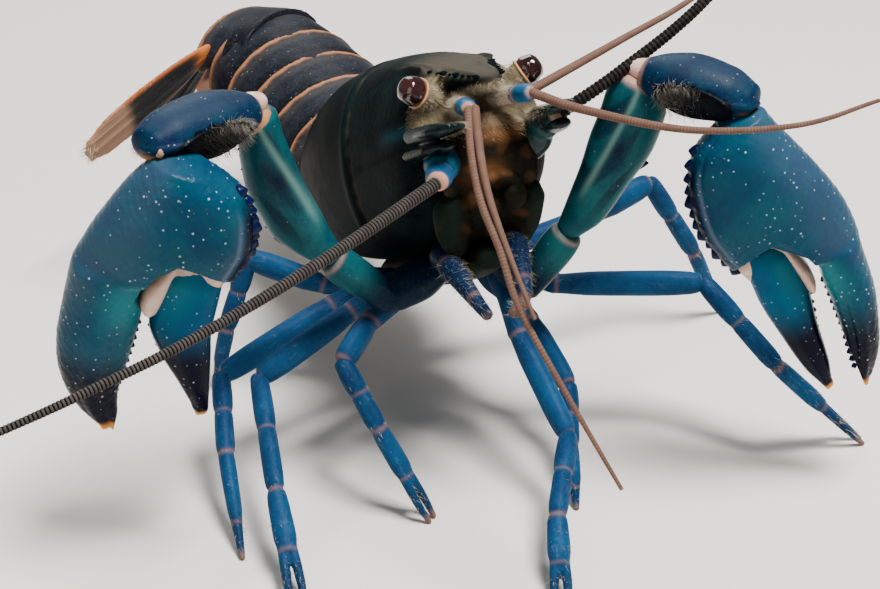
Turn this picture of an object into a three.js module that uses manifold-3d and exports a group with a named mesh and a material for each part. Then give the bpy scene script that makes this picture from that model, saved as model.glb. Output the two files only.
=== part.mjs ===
// A cherax crayfish at life size, standing high on its walking legs with both claws hanging open in front.
// Millimetres, Z up, the floor at zero. The animal faces -Y, and its left side is +X.
import * as THREE from 'three';
import { mergeVertices } from 'three/addons/utils/BufferGeometryUtils.js';
import Module from 'manifold-3d';

const wasm = await Module();
wasm.setup();

const at = (x, y, z) => new THREE.Vector3(x, y, z);
const rad = THREE.MathUtils.degToRad;

// Driving sizes
const GAP = 0.3;
const STANCE_HEIGHT = 28;
const HEAD_UP = 28.5;
const BODY_ROLL = -1.7;
const CARAPACE_REAR = 21.5;
const EYE_HALF_SPAN = 7.9;
const CORNEA_RADIUS = 1.95;
const PLEON_LENGTHS = [4.2, 7.2, 7.4, 7.2, 7.0, 8.2];
const PLEON_WIDTHS = [11.8, 12.2, 12.2, 11.8, 11.2, 9.8];
const PLEON_HEIGHTS = [14, 15.5, 15.5, 14.5, 13.5, 9.5];
const PLEON_BELLY = 0.66;
const PLEON_FLAPS = [0.5, 5.2, 5.0, 4.6, 4.0, 0.5];
const PLEON_PITCH_TURNS = [-25, -8.5, -4.5, 0, 0, 22];
const PLEON_YAW_TURNS = [3, 3.6, 2.5, 3, 4, 10];
const TELSON_LENGTH = 15;
const UROPOD_LENGTH = 26.5;
const FAN_SPREAD = { right: [36, 66], left: [16, 34] };
const FAN_YAW = 32;
const FAN_PITCH = 70;
const BAND_STEP = 0.45;

// Carapace stations: place along the body, half width, top, bottom
const CARAPACE_STATIONS = [
  [-21.6, 7.4, 19.4, 8.5],
  [-20.2, 9.2, 20.6, 4.5],
  [-17, 10.4, 21.8, 1.0],
  [-12, 11.3, 22.9, -1.4],
  [-6, 12.3, 23.8, -2.6],
  [1, 13.3, 24.3, -3.2],
  [9, 14.0, 24.2, -3.2],
  [16, 13.7, 22.9, -2.6],
  [20, 13.0, 21.5, -1.6],
  [CARAPACE_REAR, 12.4, 20.7, -0.8]
];

// Claw stations: distance from the wrist, outer edge, inner edge, half thickness
const RIGHT_PALM = [
  [1, -4.0, 3.0, 3.2],
  [3, -5.4, 7.0, 4.3],
  [6, -7.0, 8.9, 4.9],
  [9.5, -8.4, 9.6, 5.3],
  [12.2, -9.4, 9.0, 5.2],
  [14.2, -10.1, 8.1, 4.9],
  [15.4, -10.4, 4.2, 4.6],
  [17.6, -10.8, -0.9, 4.3],
  [27, -10.7, -1.2, 3.6],
  [31.5, -10.1, -1.4, 3.1],
  [35.5, -8.6, -1.6, 2.5],
  [38.8, -6.2, -1.1, 1.8],
  [40.8, -3.9, -0.7, 1.1]
];
const RIGHT_DACTYL = [
  [13.6, 1.9, 6.3, 2.3],
  [16.4, 0.3, 7.4, 3.0],
  [23, -0.2, 7.6, 3.1],
  [27.5, 1.9, 8.4, 2.6],
  [31.3, 4.9, 9.1, 2.0],
  [34.6, 7.3, 9.7, 1.1]
];
const LEFT_PALM = [
  [1, -2.6, 4.4, 3.2],
  [3, -3.1, 7.6, 4.3],
  [7, -4.6, 9.8, 4.9],
  [13, -6.6, 10.7, 5.3],
  [16.8, -7.5, 10.0, 5.1],
  [19.8, -7.7, 8.0, 4.9],
  [21.0, -7.7, 4.6, 4.6],
  [22.8, -7.5, -0.6, 4.1],
  [29, -7.1, -1.2, 3.5],
  [34, -6.1, -1.0, 2.9],
  [38.5, -4.7, -0.4, 2.1],
  [42, -2.7, 0.1, 1.2]
];
const LEFT_DACTYL = [
  [18.4, 2.2, 7.0, 2.6],
  [20.5, 1.1, 7.4, 3.1],
  [25, 0.7, 7.4, 3.0],
  [32, 1.5, 6.5, 2.4],
  [37.8, 2.0, 5.4, 1.7],
  [40.8, 2.6, 4.3, 1.0]
];

// Carpus stations: share of the way, half width, half depth
const CARPUS = [[-0.02, 2.2, 2.4], [0.14, 3.2, 3.4], [0.42, 4.0, 4.2], [0.74, 3.4, 3.9], [0.95, 2.0, 2.6]];

// Claw arms: base, ischium, elbow, wrist and claw tip, with the two ends of the carpus
const RIGHT_CHELIPED = {
  joints: [[-11.9, -10.6, 25.1], [-19.7, -10.5, 32.5], [-29.0, -11.6, 55.5], [-40.3, -23.0, 55.6],
    [-49.4, -14.6, 16.0]],
  carpus: [[-30.4, -12.3, 55.6], [-45.3, -20.3, 56.8]],
  merus: [[0.03, 2.0, 2.0], [0.14, 2.8, 2.6, -1.2], [0.3, 3.6, 3.0, -2.1], [0.52, 3.6, 3.2, -2.3],
    [0.76, 3.1, 3.3, -1.6], [0.93, 2.6, 2.9, -0.5]],
  spines: [[0.18, -4.4, -1.0], [0.84, -2.6, -1.2]],
  towards: at(0.905, -0.325, -0.276)
};
const LEFT_CHELIPED = {
  joints: [[7.4, -12.6, 24.3], [11.8, -15.4, 32.7], [19.0, -19.6, 55.4], [27.3, -31.1, 54.1],
    [44.2, -38.1, 14.2]],
  carpus: [[19.8, -20.8, 56.0], [29.2, -31.3, 55.0]],
  merus: [[0.03, 1.8, 2.0], [0.15, 2.7, 2.6, -0.8], [0.4, 3.4, 3.1, -1.2], [0.65, 4.2, 3.4, -1.4],
    [0.85, 4.2, 3.3, -1.0], [0.96, 3.0, 2.8, -0.3]],
  spines: [[0.22, -3.4, -0.8], [0.52, -4.8, -1.0]],
  towards: at(-0.846, 0.332, -0.417)
};

// Walking legs: base, ischium, knee, ankle and foot, and whether the foot is a small pincer
const WALKING_LEGS = {
  right_2: { pincer: true,
    joints: [[-5.3, -6.2, 24.9], [-14.6, -10.2, 21.8], [-19.8, -14.6, 19.2], [-17.2, -21.1, 12.1],
      [-12.0, -26.9, 0]] },
  right_3: { pincer: true,
    joints: [[-5.8, -1.8, 22.5], [-15.5, -5.4, 21.0], [-29.4, -8.2, 15.3], [-32.5, -24.6, 8.4],
      [-34.2, -38.8, 0]] },
  right_4: { pincer: false,
    joints: [[-6.3, 2.6, 20.1], [-16.5, 0.1, 19.3], [-33.2, -2.9, 13.5], [-35.7, -12.8, 7.5],
      [-37.8, -26.4, 0]] },
  right_5: { pincer: false,
    joints: [[-6.3, 7.0, 17.8], [-14.3, 10.2, 17.2], [-23.7, 14.9, 20.9], [-27.5, 14.4, 10.5],
      [-29.3, 16.2, 0]] },
  left_2: { pincer: true,
    joints: [[5.7, -6.1, 25.2], [4.4, -16.8, 19.2], [5.5, -30.6, 11.3], [-0.9, -41.4, 7.4],
      [-4.2, -50.7, 0]] },
  left_3: { pincer: true,
    joints: [[6.2, -1.7, 22.8], [13.0, -10.0, 22.0], [31.3, -18.2, 22.6], [37.7, -28.4, 13.6],
      [50.8, -31.4, 0]] },
  left_4: { pincer: false,
    joints: [[7.2, 2.9, 20.0], [9.6, -9.4, 16.2], [10.3, -20.2, 12.0], [8.4, -25.4, 6.0],
      [6.6, -31.8, 0]] },
  left_5: { pincer: false,
    joints: [[6.7, 7.1, 18.1], [27.8, 6.9, 22.6], [35.9, 7.6, 25.6], [43.5, 6.5, 13.0],
      [50.2, 8.7, 0]] }
};

// Feelers: long antennae and the two short strands of each antennule
const RIGHT_ANTENNA = [[-10.1, -23.8, 47.5], [-28.0, -32.2, 44.2], [-44.3, -38.5, 41.3],
  [-56.6, -42.1, 39.5], [-68.0, -43.8, 37.3], [-86, -41, 31], [-102, -33, 22]];
const ANTENNA_KNEES = { right: [-7.0, -25.4, 8.2], left: [7.2, -24.4, 10.4] };
const LEFT_ANTENNA = [[7.6, -20.5, 52.5], [16.3, -19.3, 56.3], [29.8, -15.9, 62.8], [46, -7, 72],
  [57, 7, 81], [61, 25, 88], [58, 45, 92]];
const RIGHT_STRANDS = [
  [[-4.0, -18.6, 54.3], [-6.0, -25.0, 50.4], [-6.9, -30.3, 46.9], [-6.6, -35.2, 43.1], [-6.0, -40.0, 37.4],
    [-2.8, -47.7, 28.6], [1.0, -54.7, 19.4]],
  [[-3.3, -18.8, 54.3], [-5.2, -26.1, 50.8], [-5.6, -31.4, 47.4], [-5.0, -37.0, 42.4], [-4.2, -42.8, 36.8]]
];
const LEFT_STRANDS = [
  [[3.5, -20.5, 56.0], [8.1, -26.5, 55.3], [18.2, -34.7, 54.4], [30.1, -40.0, 55.3], [39.5, -42.2, 57.9]],
  [[3.7, -20.2, 56.1], [17.5, -16.7, 59.4], [28.9, -13.5, 62.1], [41, -8, 66]]
];
const MAXILLIPEDS = {
  right: [[-5.2, -13.6, 31.6], [-5.7, -17.7, 31.9], [-5.0, -23.8, 30.3], [-3.7, -25.4, 28.3]],
  left: [[3.6, -14.0, 32.6], [3.0, -18.4, 33.6], [0.9, -25.8, 30.6], [-0.9, -26.3, 28.5]]
};

// Repeated small forms
const PINCER_OPEN = 0.7;
const PALM_TEETH = 12;
const FINGER_TEETH = 5;
const TOOTH_RADIUS = 0.85;
const TOOTH_HEIGHT = 0.85;
const GROOVE_PLACE = 1.5;
const BROW_SPINES = [[5.1, -19.4, 21.0], [9.0, -19.6, 13.2]];

// The body's own frame: x to its left, y to its tail, z to its back, from the middle of the breastplate.
const bodyTurn = new THREE.Matrix4()
  .makeRotationX(rad(-HEAD_UP))
  .multiply(new THREE.Matrix4().makeRotationY(rad(BODY_ROLL)));
const bodyPlace = new THREE.Matrix4().makeTranslation(0, 0, STANCE_HEIGHT).multiply(bodyTurn);
const onBody = (x, y, z) => at(x, y, z).applyMatrix4(bodyPlace);

// Seeded random numbers between -1 and 1
function randomFrom(seed) {
  let state = seed;
  return () => {
    state = (state * 16807) % 2147483647;
    return (state / 2147483647) * 2 - 1;
  };
}

// A closed surface of positions and triangles as a solid, turned to face out
function solidOf(positions, index) {
  const geometry = new THREE.BufferGeometry();
  geometry.setAttribute('position', new THREE.Float32BufferAttribute(positions, 3));
  geometry.setIndex(index);
  const merged = mergeVertices(geometry, 1e-4);
  const triangles = Array.from(merged.index.array);
  const corners = merged.attributes.position;
  const [a, b, c] = [at(), at(), at()];
  let volume = 0;
  for (let i = 0; i < triangles.length; i += 3) {
    a.fromBufferAttribute(corners, triangles[i]);
    b.fromBufferAttribute(corners, triangles[i + 1]);
    c.fromBufferAttribute(corners, triangles[i + 2]);
    volume += a.dot(b.cross(c));
  }
  if (volume < 0) {
    triangles.reverse();
  }
  return new wasm.Manifold(new wasm.Mesh({
    numProp: 3,
    vertProperties: new Float32Array(corners.array),
    triVerts: new Uint32Array(triangles)
  }));
}

// A three.js geometry as a solid, moved by a matrix
function solidFrom(geometry, matrix = new THREE.Matrix4()) {
  const plain = geometry.clone().applyMatrix4(matrix);
  plain.deleteAttribute('normal');
  plain.deleteAttribute('uv');
  const merged = mergeVertices(plain, 1e-4);
  return solidOf(Array.from(merged.attributes.position.array), Array.from(merged.index.array));
}

// Triangles that close one ring, found in the ring's own plane
function capOf(ring) {
  const normal = at();
  ring.forEach((p, i) => {
    const q = ring[(i + 1) % ring.length];
    normal.add(at((p.y - q.y) * (p.z + q.z), (p.z - q.z) * (p.x + q.x), (p.x - q.x) * (p.y + q.y)));
  });
  normal.normalize();
  const side = ring[1].clone().sub(ring[0]).normalize();
  const up = normal.clone().cross(side);
  const flat = ring.map((p) => new THREE.Vector2(p.dot(side), p.dot(up)));
  return THREE.ShapeUtils.triangulateShape(flat, []).map(([i, j, k]) => {
    const turn = flat[j].clone().sub(flat[i]).cross(flat[k].clone().sub(flat[i]));
    return turn > 0 ? [i, j, k] : [i, k, j];
  });
}

// A skin through rings with equal numbers of points; an end with a tip closes in that point
function loft(rings, firstTip, lastTip) {
  const count = rings[0].length;
  const positions = rings.flat().flatMap((p) => [p.x, p.y, p.z]);
  const index = [];
  for (let r = 0; r + 1 < rings.length; r += 1) {
    for (let i = 0; i < count; i += 1) {
      const a = r * count + i;
      const b = r * count + ((i + 1) % count);
      index.push(a, b, b + count, a, b + count, a + count);
    }
  }
  const last = (rings.length - 1) * count;
  if (firstTip) {
    positions.push(firstTip.x, firstTip.y, firstTip.z);
    const tip = positions.length / 3 - 1;
    rings[0].forEach((_, i) => index.push((i + 1) % count, i, tip));
  } else {
    capOf(rings[0]).forEach(([i, j, k]) => index.push(i, k, j));
  }
  if (lastTip) {
    positions.push(lastTip.x, lastTip.y, lastTip.z);
    const tip = positions.length / 3 - 1;
    rings[0].forEach((_, i) => index.push(last + i, last + ((i + 1) % count), tip));
  } else {
    capOf(rings.at(-1)).forEach(([i, j, k]) => index.push(last + i, last + j, last + k));
  }
  return solidOf(positions, index);
}

// An oval ring: centre, two directions and two half sizes
function oval(centre, side, up, a, b, count) {
  return Array.from({ length: count }, (_, i) => {
    const turn = (2 * Math.PI * i) / count;
    return centre.clone()
      .addScaledVector(side, a * Math.cos(turn))
      .addScaledVector(up, b * Math.sin(turn));
  });
}

// A limb piece between two joints: stations are [share of the way, half width, half depth, bow]
function limbPiece(from, to, towards, stations, grow = 0, count = 8) {
  const along = to.clone().sub(from);
  const length = along.length();
  along.normalize();
  const side = towards.clone().addScaledVector(along, -towards.dot(along)).normalize();
  const up = along.clone().cross(side);
  const place = (t, bow) => from.clone().addScaledVector(along, t * length).addScaledVector(side, bow);
  const rings = stations.map(([t, a, b, bow = 0]) => (
    oval(place(t, bow), side, up, a + grow, b + grow, count)));
  const ends = [stations[0], stations.at(-1)];
  const tips = ends.map(([t, a, , bow = 0], i) => (
    place(t + ((i ? 1 : -1) * (0.45 * a + grow)) / length, bow)));
  return loft(rings, tips[0], tips[1]);
}

// A thin feeler along a curve, from one share of its length to another
function feeler(points, thick, thin, [start, end], steps, grow = 0, count = 6) {
  const curve = new THREE.CatmullRomCurve3(points.map((p) => at(...p)), false, 'centripetal');
  const whole = Math.round(steps / (end - start));
  const frames = curve.computeFrenetFrames(whole);
  const rings = [];
  const shares = Array.from({ length: steps + 1 }, (_, i) => start + ((end - start) * i) / steps);
  shares.forEach((t) => {
    const k = Math.round(t * whole);
    const radius = THREE.MathUtils.lerp(thick, thin, t) + grow;
    rings.push(oval(curve.getPointAt(t), frames.normals[k], frames.binormals[k], radius, radius, count));
  });
  const tipOf = (t, way) => curve.getPointAt(t).addScaledVector(
    curve.getTangentAt(t), way * (0.4 * THREE.MathUtils.lerp(thick, thin, t) + grow));
  return loft(rings, tipOf(start, -1), tipOf(end, 1));
}

// A cone with a sunk root, from a point on the surface along a direction
function spine(point, direction, radius, height, sunk = 0.6, count = 5) {
  const way = direction.clone().normalize();
  const shape = new THREE.ConeGeometry(radius, height + sunk, count);
  const matrix = new THREE.Matrix4().compose(
    point.clone().addScaledVector(way, (height - sunk) / 2),
    new THREE.Quaternion().setFromUnitVectors(at(0, 1, 0), way),
    at(1, 1, 1)
  );
  return solidFrom(shape, matrix);
}

const joined = (first, others) => others.reduce((sum, other) => sum.add(other), first);

// The largest closed body of a solid
function largest(solid) {
  return solid.decompose().reduce((best, body) => (body.volume() > best.volume() ? body : best));
}

const nodes = [];
const addNode = (name, colour, finish, make, details = []) => {
  nodes.push({ name, colour, finish, solid: joined(make(0), details), grown: make(GAP) });
};

const SHELL = { dark: 0x16303c, blue: 0x1b4f86, teal: 0x1f6f86, navy: 0x0f2f63, leg: 0x2a6fb0 };
const GLOSS = { roughness: 0.35, metalness: 0 };
const SOFT = { roughness: 0.6, metalness: 0 };

// Carapace: one shell from the rear edge to the rostrum's tip
function carapaceRing([y, half, top, bottom], grow, count = 22) {
  const middle = bottom + (top - bottom) * 0.46;
  return Array.from({ length: count }, (_, i) => {
    const turn = (2 * Math.PI * (i + 0.5)) / count;
    const s = Math.sin(turn);
    const c = Math.cos(turn);
    const x = (half + grow) * Math.sign(s) * Math.abs(s) ** 0.86;
    const low = (middle - bottom + grow) * Math.abs(c) ** 0.7;
    const z = c > 0 ? middle + (top + grow - middle) * c : middle - low;
    return onBody(x, y, z);
  });
}
function carapace(grow) {
  const rings = CARAPACE_STATIONS.map((station) => carapaceRing(station, grow));
  const shell = loft(rings);
  const beak = limbPiece(onBody(0, -12, 21.0), onBody(0, -31, 17.2), bodySide,
    [[0, 4.8, 1.6], [0.42, 4.3, 1.5], [0.7, 3.0, 1.2], [0.93, 1.3, 0.7], [0.99, 0.4, 0.35]], grow, 8);
  return shell.add(beak);
}
const bodySide = onBody(1, 0, 0).sub(onBody(0, 0, 0));

// Raised forms of the carapace: ridges behind the eyes, the beak's edges and the brow spines
function carapaceForms() {
  const forms = [];
  [-1, 1].forEach((side) => {
    forms.push(limbPiece(onBody(side * 5.0, -19.6, 20.9), onBody(side * 5.4, -9.5, 22.4), bodySide,
      [[0.04, 0.4, 0.6], [0.3, 0.7, 1.0], [0.9, 0.4, 0.7]], 0, 6));
    forms.push(limbPiece(onBody(side * 3.3, -14, 22.2), onBody(side * 1.3, -28.6, 18.6), bodySide,
      [[0.04, 0.4, 0.6], [0.3, 0.6, 0.9], [0.95, 0.4, 0.5]], 0, 6));
    BROW_SPINES.forEach(([x, y, z]) => {
      const way = onBody(side * 0.3, -1, 0).sub(onBody(0, 0, 0));
      forms.push(spine(onBody(side * x, y, z), way, 0.7, 1.4, 1.2, 5));
    });
  });
  return forms;
}

// The neck groove that parts head and gill cover
function neckGroove() {
  const points = Array.from({ length: 9 }, (_, i) => {
    const turn = Math.PI * (i / 8 - 0.5) * 1.24;
    const [half, top, bottom] = [12.35, 23.9, -2.4];
    const middle = bottom + (top - bottom) * 0.46;
    const x = half * Math.sign(Math.sin(turn)) * Math.abs(Math.sin(turn)) ** 0.86;
    const z = middle + (top - middle) * Math.cos(turn);
    return onBody(x, GROOVE_PLACE - 5.5 * Math.abs(Math.sin(turn)), z);
  });
  return feeler(points.map((p) => p.toArray()), 0.55, 0.55, [0, 1], 16, 0, 5);
}
nodes.push({
  name: 'carapace',
  colour: SHELL.dark,
  finish: GLOSS,
  solid: joined(carapace(0), carapaceForms()).subtract(neckGroove()),
  grown: carapace(GAP)
});

// Face below the eyes: the plate from which the feelers and mouthparts spring
const jaws = [-1, 1].map((side) => limbPiece(onBody(side * 2.6, -21.5, 3.4), onBody(side * 1.4, -25.2, 1.8),
  bodySide, [[0, 1.7, 2.2], [0.5, 2.0, 2.2], [0.95, 1.3, 1.4]], 0, 8));
addNode('face', SHELL.dark, SOFT, (grow) => limbPiece(onBody(0, -21.9, 8.5), onBody(0, -25, 7.5), bodySide,
  [[0.05, 7.2, 5.6], [0.5, 6.6, 5.0], [0.95, 4.4, 3.6]], grow, 12), jaws);

// Breastplate between the legs
addNode('sternum', SHELL.dark, SOFT, (grow) => limbPiece(onBody(0, -14, -4.6), onBody(0, 17, -4.2),
  bodySide, [[0.03, 2.4, 1.4], [0.15, 4.2, 2.6], [0.5, 5.0, 3.2], [0.85, 6.0, 2.8], [0.97, 4.6, 1.6]],
  grow, 12));

// Mouth: paired jaw legs that meet below the face
for (const [side, points] of Object.entries(MAXILLIPEDS)) {
  addNode(`${side}_maxilliped`, SHELL.blue, SOFT, (grow) => feeler(points, 2.0, 0.7, [0, 1], 6, grow, 8));
}

// Pleon: six hinged rings, each a barrel with side flaps
function pleonJoints() {
  const joints = [];
  let pitch = HEAD_UP;
  let yaw = 0;
  let place = onBody(0, CARAPACE_REAR - 0.6, 20.1);
  PLEON_LENGTHS.forEach((length, i) => {
    pitch += PLEON_PITCH_TURNS[i];
    yaw += PLEON_YAW_TURNS[i];
    const turn = new THREE.Matrix4()
      .makeRotationZ(rad(yaw))
      .multiply(new THREE.Matrix4().makeRotationX(rad(-pitch)))
      .multiply(new THREE.Matrix4().makeRotationY(rad(BODY_ROLL)));
    joints.push({ place, turn, length });
    place = place.clone().add(at(0, length, 0).applyMatrix4(turn));
  });
  joints.push({ place, turn: joints.at(-1).turn, length: 0 });
  return joints;
}
const pleonChain = pleonJoints();

function pleonRing(joint, along, half, height, flap, grow) {
  const belly = height * PLEON_BELLY;
  const outer = Array.from({ length: 13 }, (_, i) => {
    const turn = Math.PI * (i / 12 - 0.5);
    return at((half + grow) * Math.sin(turn), along, (belly + grow) * Math.cos(turn) - belly);
  });
  const low = [
    at(half - 0.2 + grow, along, -belly - flap - grow),
    at(half - 1.2 - grow * 0.5, along, -belly - flap - grow),
    at(half - 1.9 - grow, along, -belly - 0.3 - grow),
    at(0, along, -belly - 0.7 - grow),
    at(-half + 1.9 + grow, along, -belly - 0.3 - grow),
    at(-half + 1.2 + grow * 0.5, along, -belly - flap - grow),
    at(-half + 0.2 - grow, along, -belly - flap - grow)
  ];
  return [...outer, ...low].map((p) => p.applyMatrix4(joint.turn).add(joint.place));
}

function pleonSegment(i, grow) {
  const joint = pleonChain[i];
  const next = PLEON_WIDTHS[Math.min(i + 1, 5)];
  const half = PLEON_WIDTHS[i];
  const height = PLEON_HEIGHTS[i];
  const flap = PLEON_FLAPS[i];
  const start = i === 0 ? 1.8 : GAP / 2;
  const end = joint.length - GAP / 2;
  const hem = (half + next) / 2;
  const front = { turn: bodyTurn, place: onBody(0, CARAPACE_REAR + GAP, 19.6) };
  return loft([
    ...(i === 0 ? [pleonRing(front, -grow, half - 0.9, 22, 0.6, grow)] : []),
    pleonRing(joint, start - grow, half - 0.7, height - 0.8, flap * 0.35 + 0.6, grow),
    pleonRing(joint, start + (i === 0 ? 0.3 : 1.4), half - 0.1, height, flap * 0.8 + 0.4, grow),
    pleonRing(joint, end - 1.5, hem + 0.1, height, flap + 0.2, grow),
    pleonRing(joint, end - 1.1, hem + BAND_STEP, height + 0.2, flap * 0.9 + 0.4, grow),
    pleonRing(joint, end + grow, hem + BAND_STEP - 0.2, height, flap * 0.5 + 0.6, grow)
  ]);
}
PLEON_LENGTHS.forEach((length, i) => {
  const swimmerets = i > 0 && i < 5 ? [-1, 1].map((side) => {
    const joint = pleonChain[i];
    const belly = -PLEON_HEIGHTS[i] * PLEON_BELLY;
    const ends = [at(side * 5.2, length * 0.5, belly), at(side * 4.4, length * 0.35 - 1, belly - 6.5)];
    const [root, tip] = ends.map((p) => p.applyMatrix4(joint.turn).add(joint.place));
    const across = at(1, 0, 0).transformDirection(joint.turn);
    return limbPiece(root, tip, across,
      [[0, 0.8, 0.6], [0.3, 0.7, 0.5], [0.7, 1.2, 0.4], [0.95, 0.8, 0.35]], 0, 6);
  }) : [];
  addNode(`pleon_${i + 1}`, SHELL.dark, GLOSS, (grow) => pleonSegment(i, grow), swimmerets);
});

// Tail fan: the telson and two blades on each side, fanned from the last ring
const fanTurn = new THREE.Matrix4()
  .makeRotationZ(rad(FAN_YAW))
  .multiply(new THREE.Matrix4().makeRotationX(rad(-FAN_PITCH)));
const fanPlace = at(0, PLEON_LENGTHS[5] + 0.3, -2.6)
  .applyMatrix4(pleonChain[5].turn)
  .add(pleonChain[5].place);
function blade(x, angle, drop, length, width, thick, grow) {
  const turn = new THREE.Matrix4().makeTranslation(fanPlace.x, fanPlace.y, fanPlace.z)
    .multiply(fanTurn)
    .multiply(new THREE.Matrix4().makeTranslation(x, 0, drop))
    .multiply(new THREE.Matrix4().makeRotationZ(rad(angle)));
  const rows = [[0.2, 0.3], [0.12 * length, 0.55], [0.35 * length, 0.85], [0.65 * length, 1],
    [0.85 * length, 0.92], [0.97 * length, 0.6]];
  const across = at(1, 0, 0).transformDirection(turn);
  const from = at(0, 0, 0).applyMatrix4(turn);
  const to = at(0, length, 0).applyMatrix4(turn);
  return limbPiece(from, to, across, rows.map(([y, share]) => [y / length, (width / 2) * share,
    (thick / 2) * (0.7 + 0.3 * (1 - y / length))]), grow, 10);
}
addNode('telson', SHELL.dark, GLOSS, (grow) => blade(0, 0, 0.9, TELSON_LENGTH, 10, 2.0, grow));
[['right', -1], ['left', 1]].forEach(([side, sign]) => {
  const [inner, outer] = FAN_SPREAD[side];
  addNode(`${side}_inner_uropod`, SHELL.dark, GLOSS,
    (grow) => blade(sign * 5.6, -sign * inner, -0.9, UROPOD_LENGTH * 0.82, 9, 1.3, grow));
  addNode(`${side}_outer_uropod`, SHELL.dark, GLOSS,
    (grow) => blade(sign * 8.6, -sign * outer, -2.3, UROPOD_LENGTH, 9, 1.3, grow));
});

// Head: eyes on stalks, scales and feelers
for (const [side, sign] of [['right', -1], ['left', 1]]) {
  const eye = onBody(sign * EYE_HALF_SPAN, -22.5, 18);
  addNode(`${side}_eyestalk`, SHELL.dark, SOFT, (grow) => limbPiece(onBody(sign * 4.6, -20.9, 16.4), eye,
    at(0, 0, 1), [[0, 1.3, 1.3], [0.5, 1.5, 1.5], [0.9, 1.7, 1.7]], grow, 10));
  addNode(`${side}_eye`, 0x2a1210, { roughness: 0.1, metalness: 0 }, (grow) => solidFrom(
    new THREE.SphereGeometry(CORNEA_RADIUS + grow, 14, 10),
    new THREE.Matrix4().makeTranslation(eye.x, eye.y, eye.z)));
  addNode(`${side}_scale`, SHELL.teal, GLOSS, (grow) => limbPiece(onBody(sign * 8.2, -22.6, 12.4),
    onBody(sign * 7.2, -33.5, 12.2), bodySide,
    [[0, 1.2, 0.7], [0.2, 2.3, 0.9], [0.6, 2.7, 0.8], [0.88, 1.9, 0.6], [0.98, 0.8, 0.4]], grow, 8));
  const antenna = sign < 0 ? RIGHT_ANTENNA : LEFT_ANTENNA;
  const root = at(...antenna[0]);
  addNode(`${side}_antenna_base`, SHELL.blue, GLOSS, (grow) => {
    const middle = onBody(...ANTENNA_KNEES[side]);
    const first = limbPiece(onBody(sign * 6.0, -22.0, 8.4), middle, bodySide,
      [[0, 2.2, 2.2], [0.5, 2.4, 2.3], [1, 2.0, 1.9]], grow, 10);
    const second = limbPiece(middle, root, bodySide,
      [[0, 1.9, 1.8], [0.25, 2.0, 1.85], [0.47, 1.5, 1.45], [0.6, 1.75, 1.6], [0.86, 1.4, 1.4]], grow, 10);
    return first.add(second);
  });
  [['near', 0, 0.5], ['far', 0.505, 1]].forEach(([length, start, end]) => {
    addNode(`${side}_antenna_${length}`, 0x6b6258, SOFT,
      (grow) => feeler(antenna, 1.0, 0.3, [start, end], 12, grow, 7));
  });
  const strands = sign < 0 ? RIGHT_STRANDS : LEFT_STRANDS;
  addNode(`${side}_antennule`, SHELL.teal, SOFT, (grow) => {
    const tip = at(...strands[0][0]);
    const base = limbPiece(onBody(sign * 2.6, -22.8, 15.4), tip, bodySide,
      [[0, 1.5, 1.4], [0.4, 1.6, 1.5], [0.8, 1.3, 1.2], [1, 1.1, 1.0]], grow, 8);
    return joined(base, strands.map((points) => feeler(points, 0.66, 0.27, [0, 1], 12, grow, 6)));
  });
}

// Claw legs
function clawFrame(wrist, tip, towards) {
  const along = tip.clone().sub(wrist).normalize();
  const inner = towards.clone().addScaledVector(along, -towards.dot(along)).normalize();
  const face = along.clone().cross(inner);
  return { wrist, along, inner, face };
}
const onClaw = (frame, u, w, c = 0) => frame.wrist.clone()
  .addScaledVector(frame.along, u)
  .addScaledVector(frame.inner, w)
  .addScaledVector(frame.face, c);
function clawPiece(frame, rows, tip, grow, count = 12) {
  const rings = rows.map(([u, outer, inner, thick]) => (
    oval(onClaw(frame, u, (outer + inner) / 2), frame.inner, frame.face, (inner - outer) / 2 + grow,
      thick + grow, count)));
  const [u, outer, inner] = rows[0];
  const start = onClaw(frame, u - 0.9 - grow, (outer + inner) / 2);
  return loft(rings, start, onClaw(frame, tip[0] + grow, tip[1]));
}
function edgeAt(rows, u, edge) {
  const k = Math.max(1, rows.findIndex((row) => row[0] >= u));
  const [before, after] = [rows[k - 1], rows[k]];
  return THREE.MathUtils.mapLinear(u, before[0], after[0], before[edge], after[edge]);
}
function teethAlong(frame, rows, edge, from, to, count, scale, seed) {
  const random = randomFrom(seed);
  return Array.from({ length: count }, (_, i) => {
    const u = from + ((to - from) * i) / (count - 1);
    const w = edgeAt(rows, u, edge);
    const slope = edgeAt(rows, u + 0.3, edge) - w;
    const way = frame.inner.clone()
      .multiplyScalar(edge === 2 ? 1 : -1)
      .addScaledVector(frame.along, -slope * 1.5);
    const size = scale * (1 + 0.15 * random());
    const point = onClaw(frame, u, w + (edge === 2 ? -0.25 : 0.25));
    return spine(point, way, TOOTH_RADIUS * size, TOOTH_HEIGHT * size, 1.0, 5);
  });
}
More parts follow.
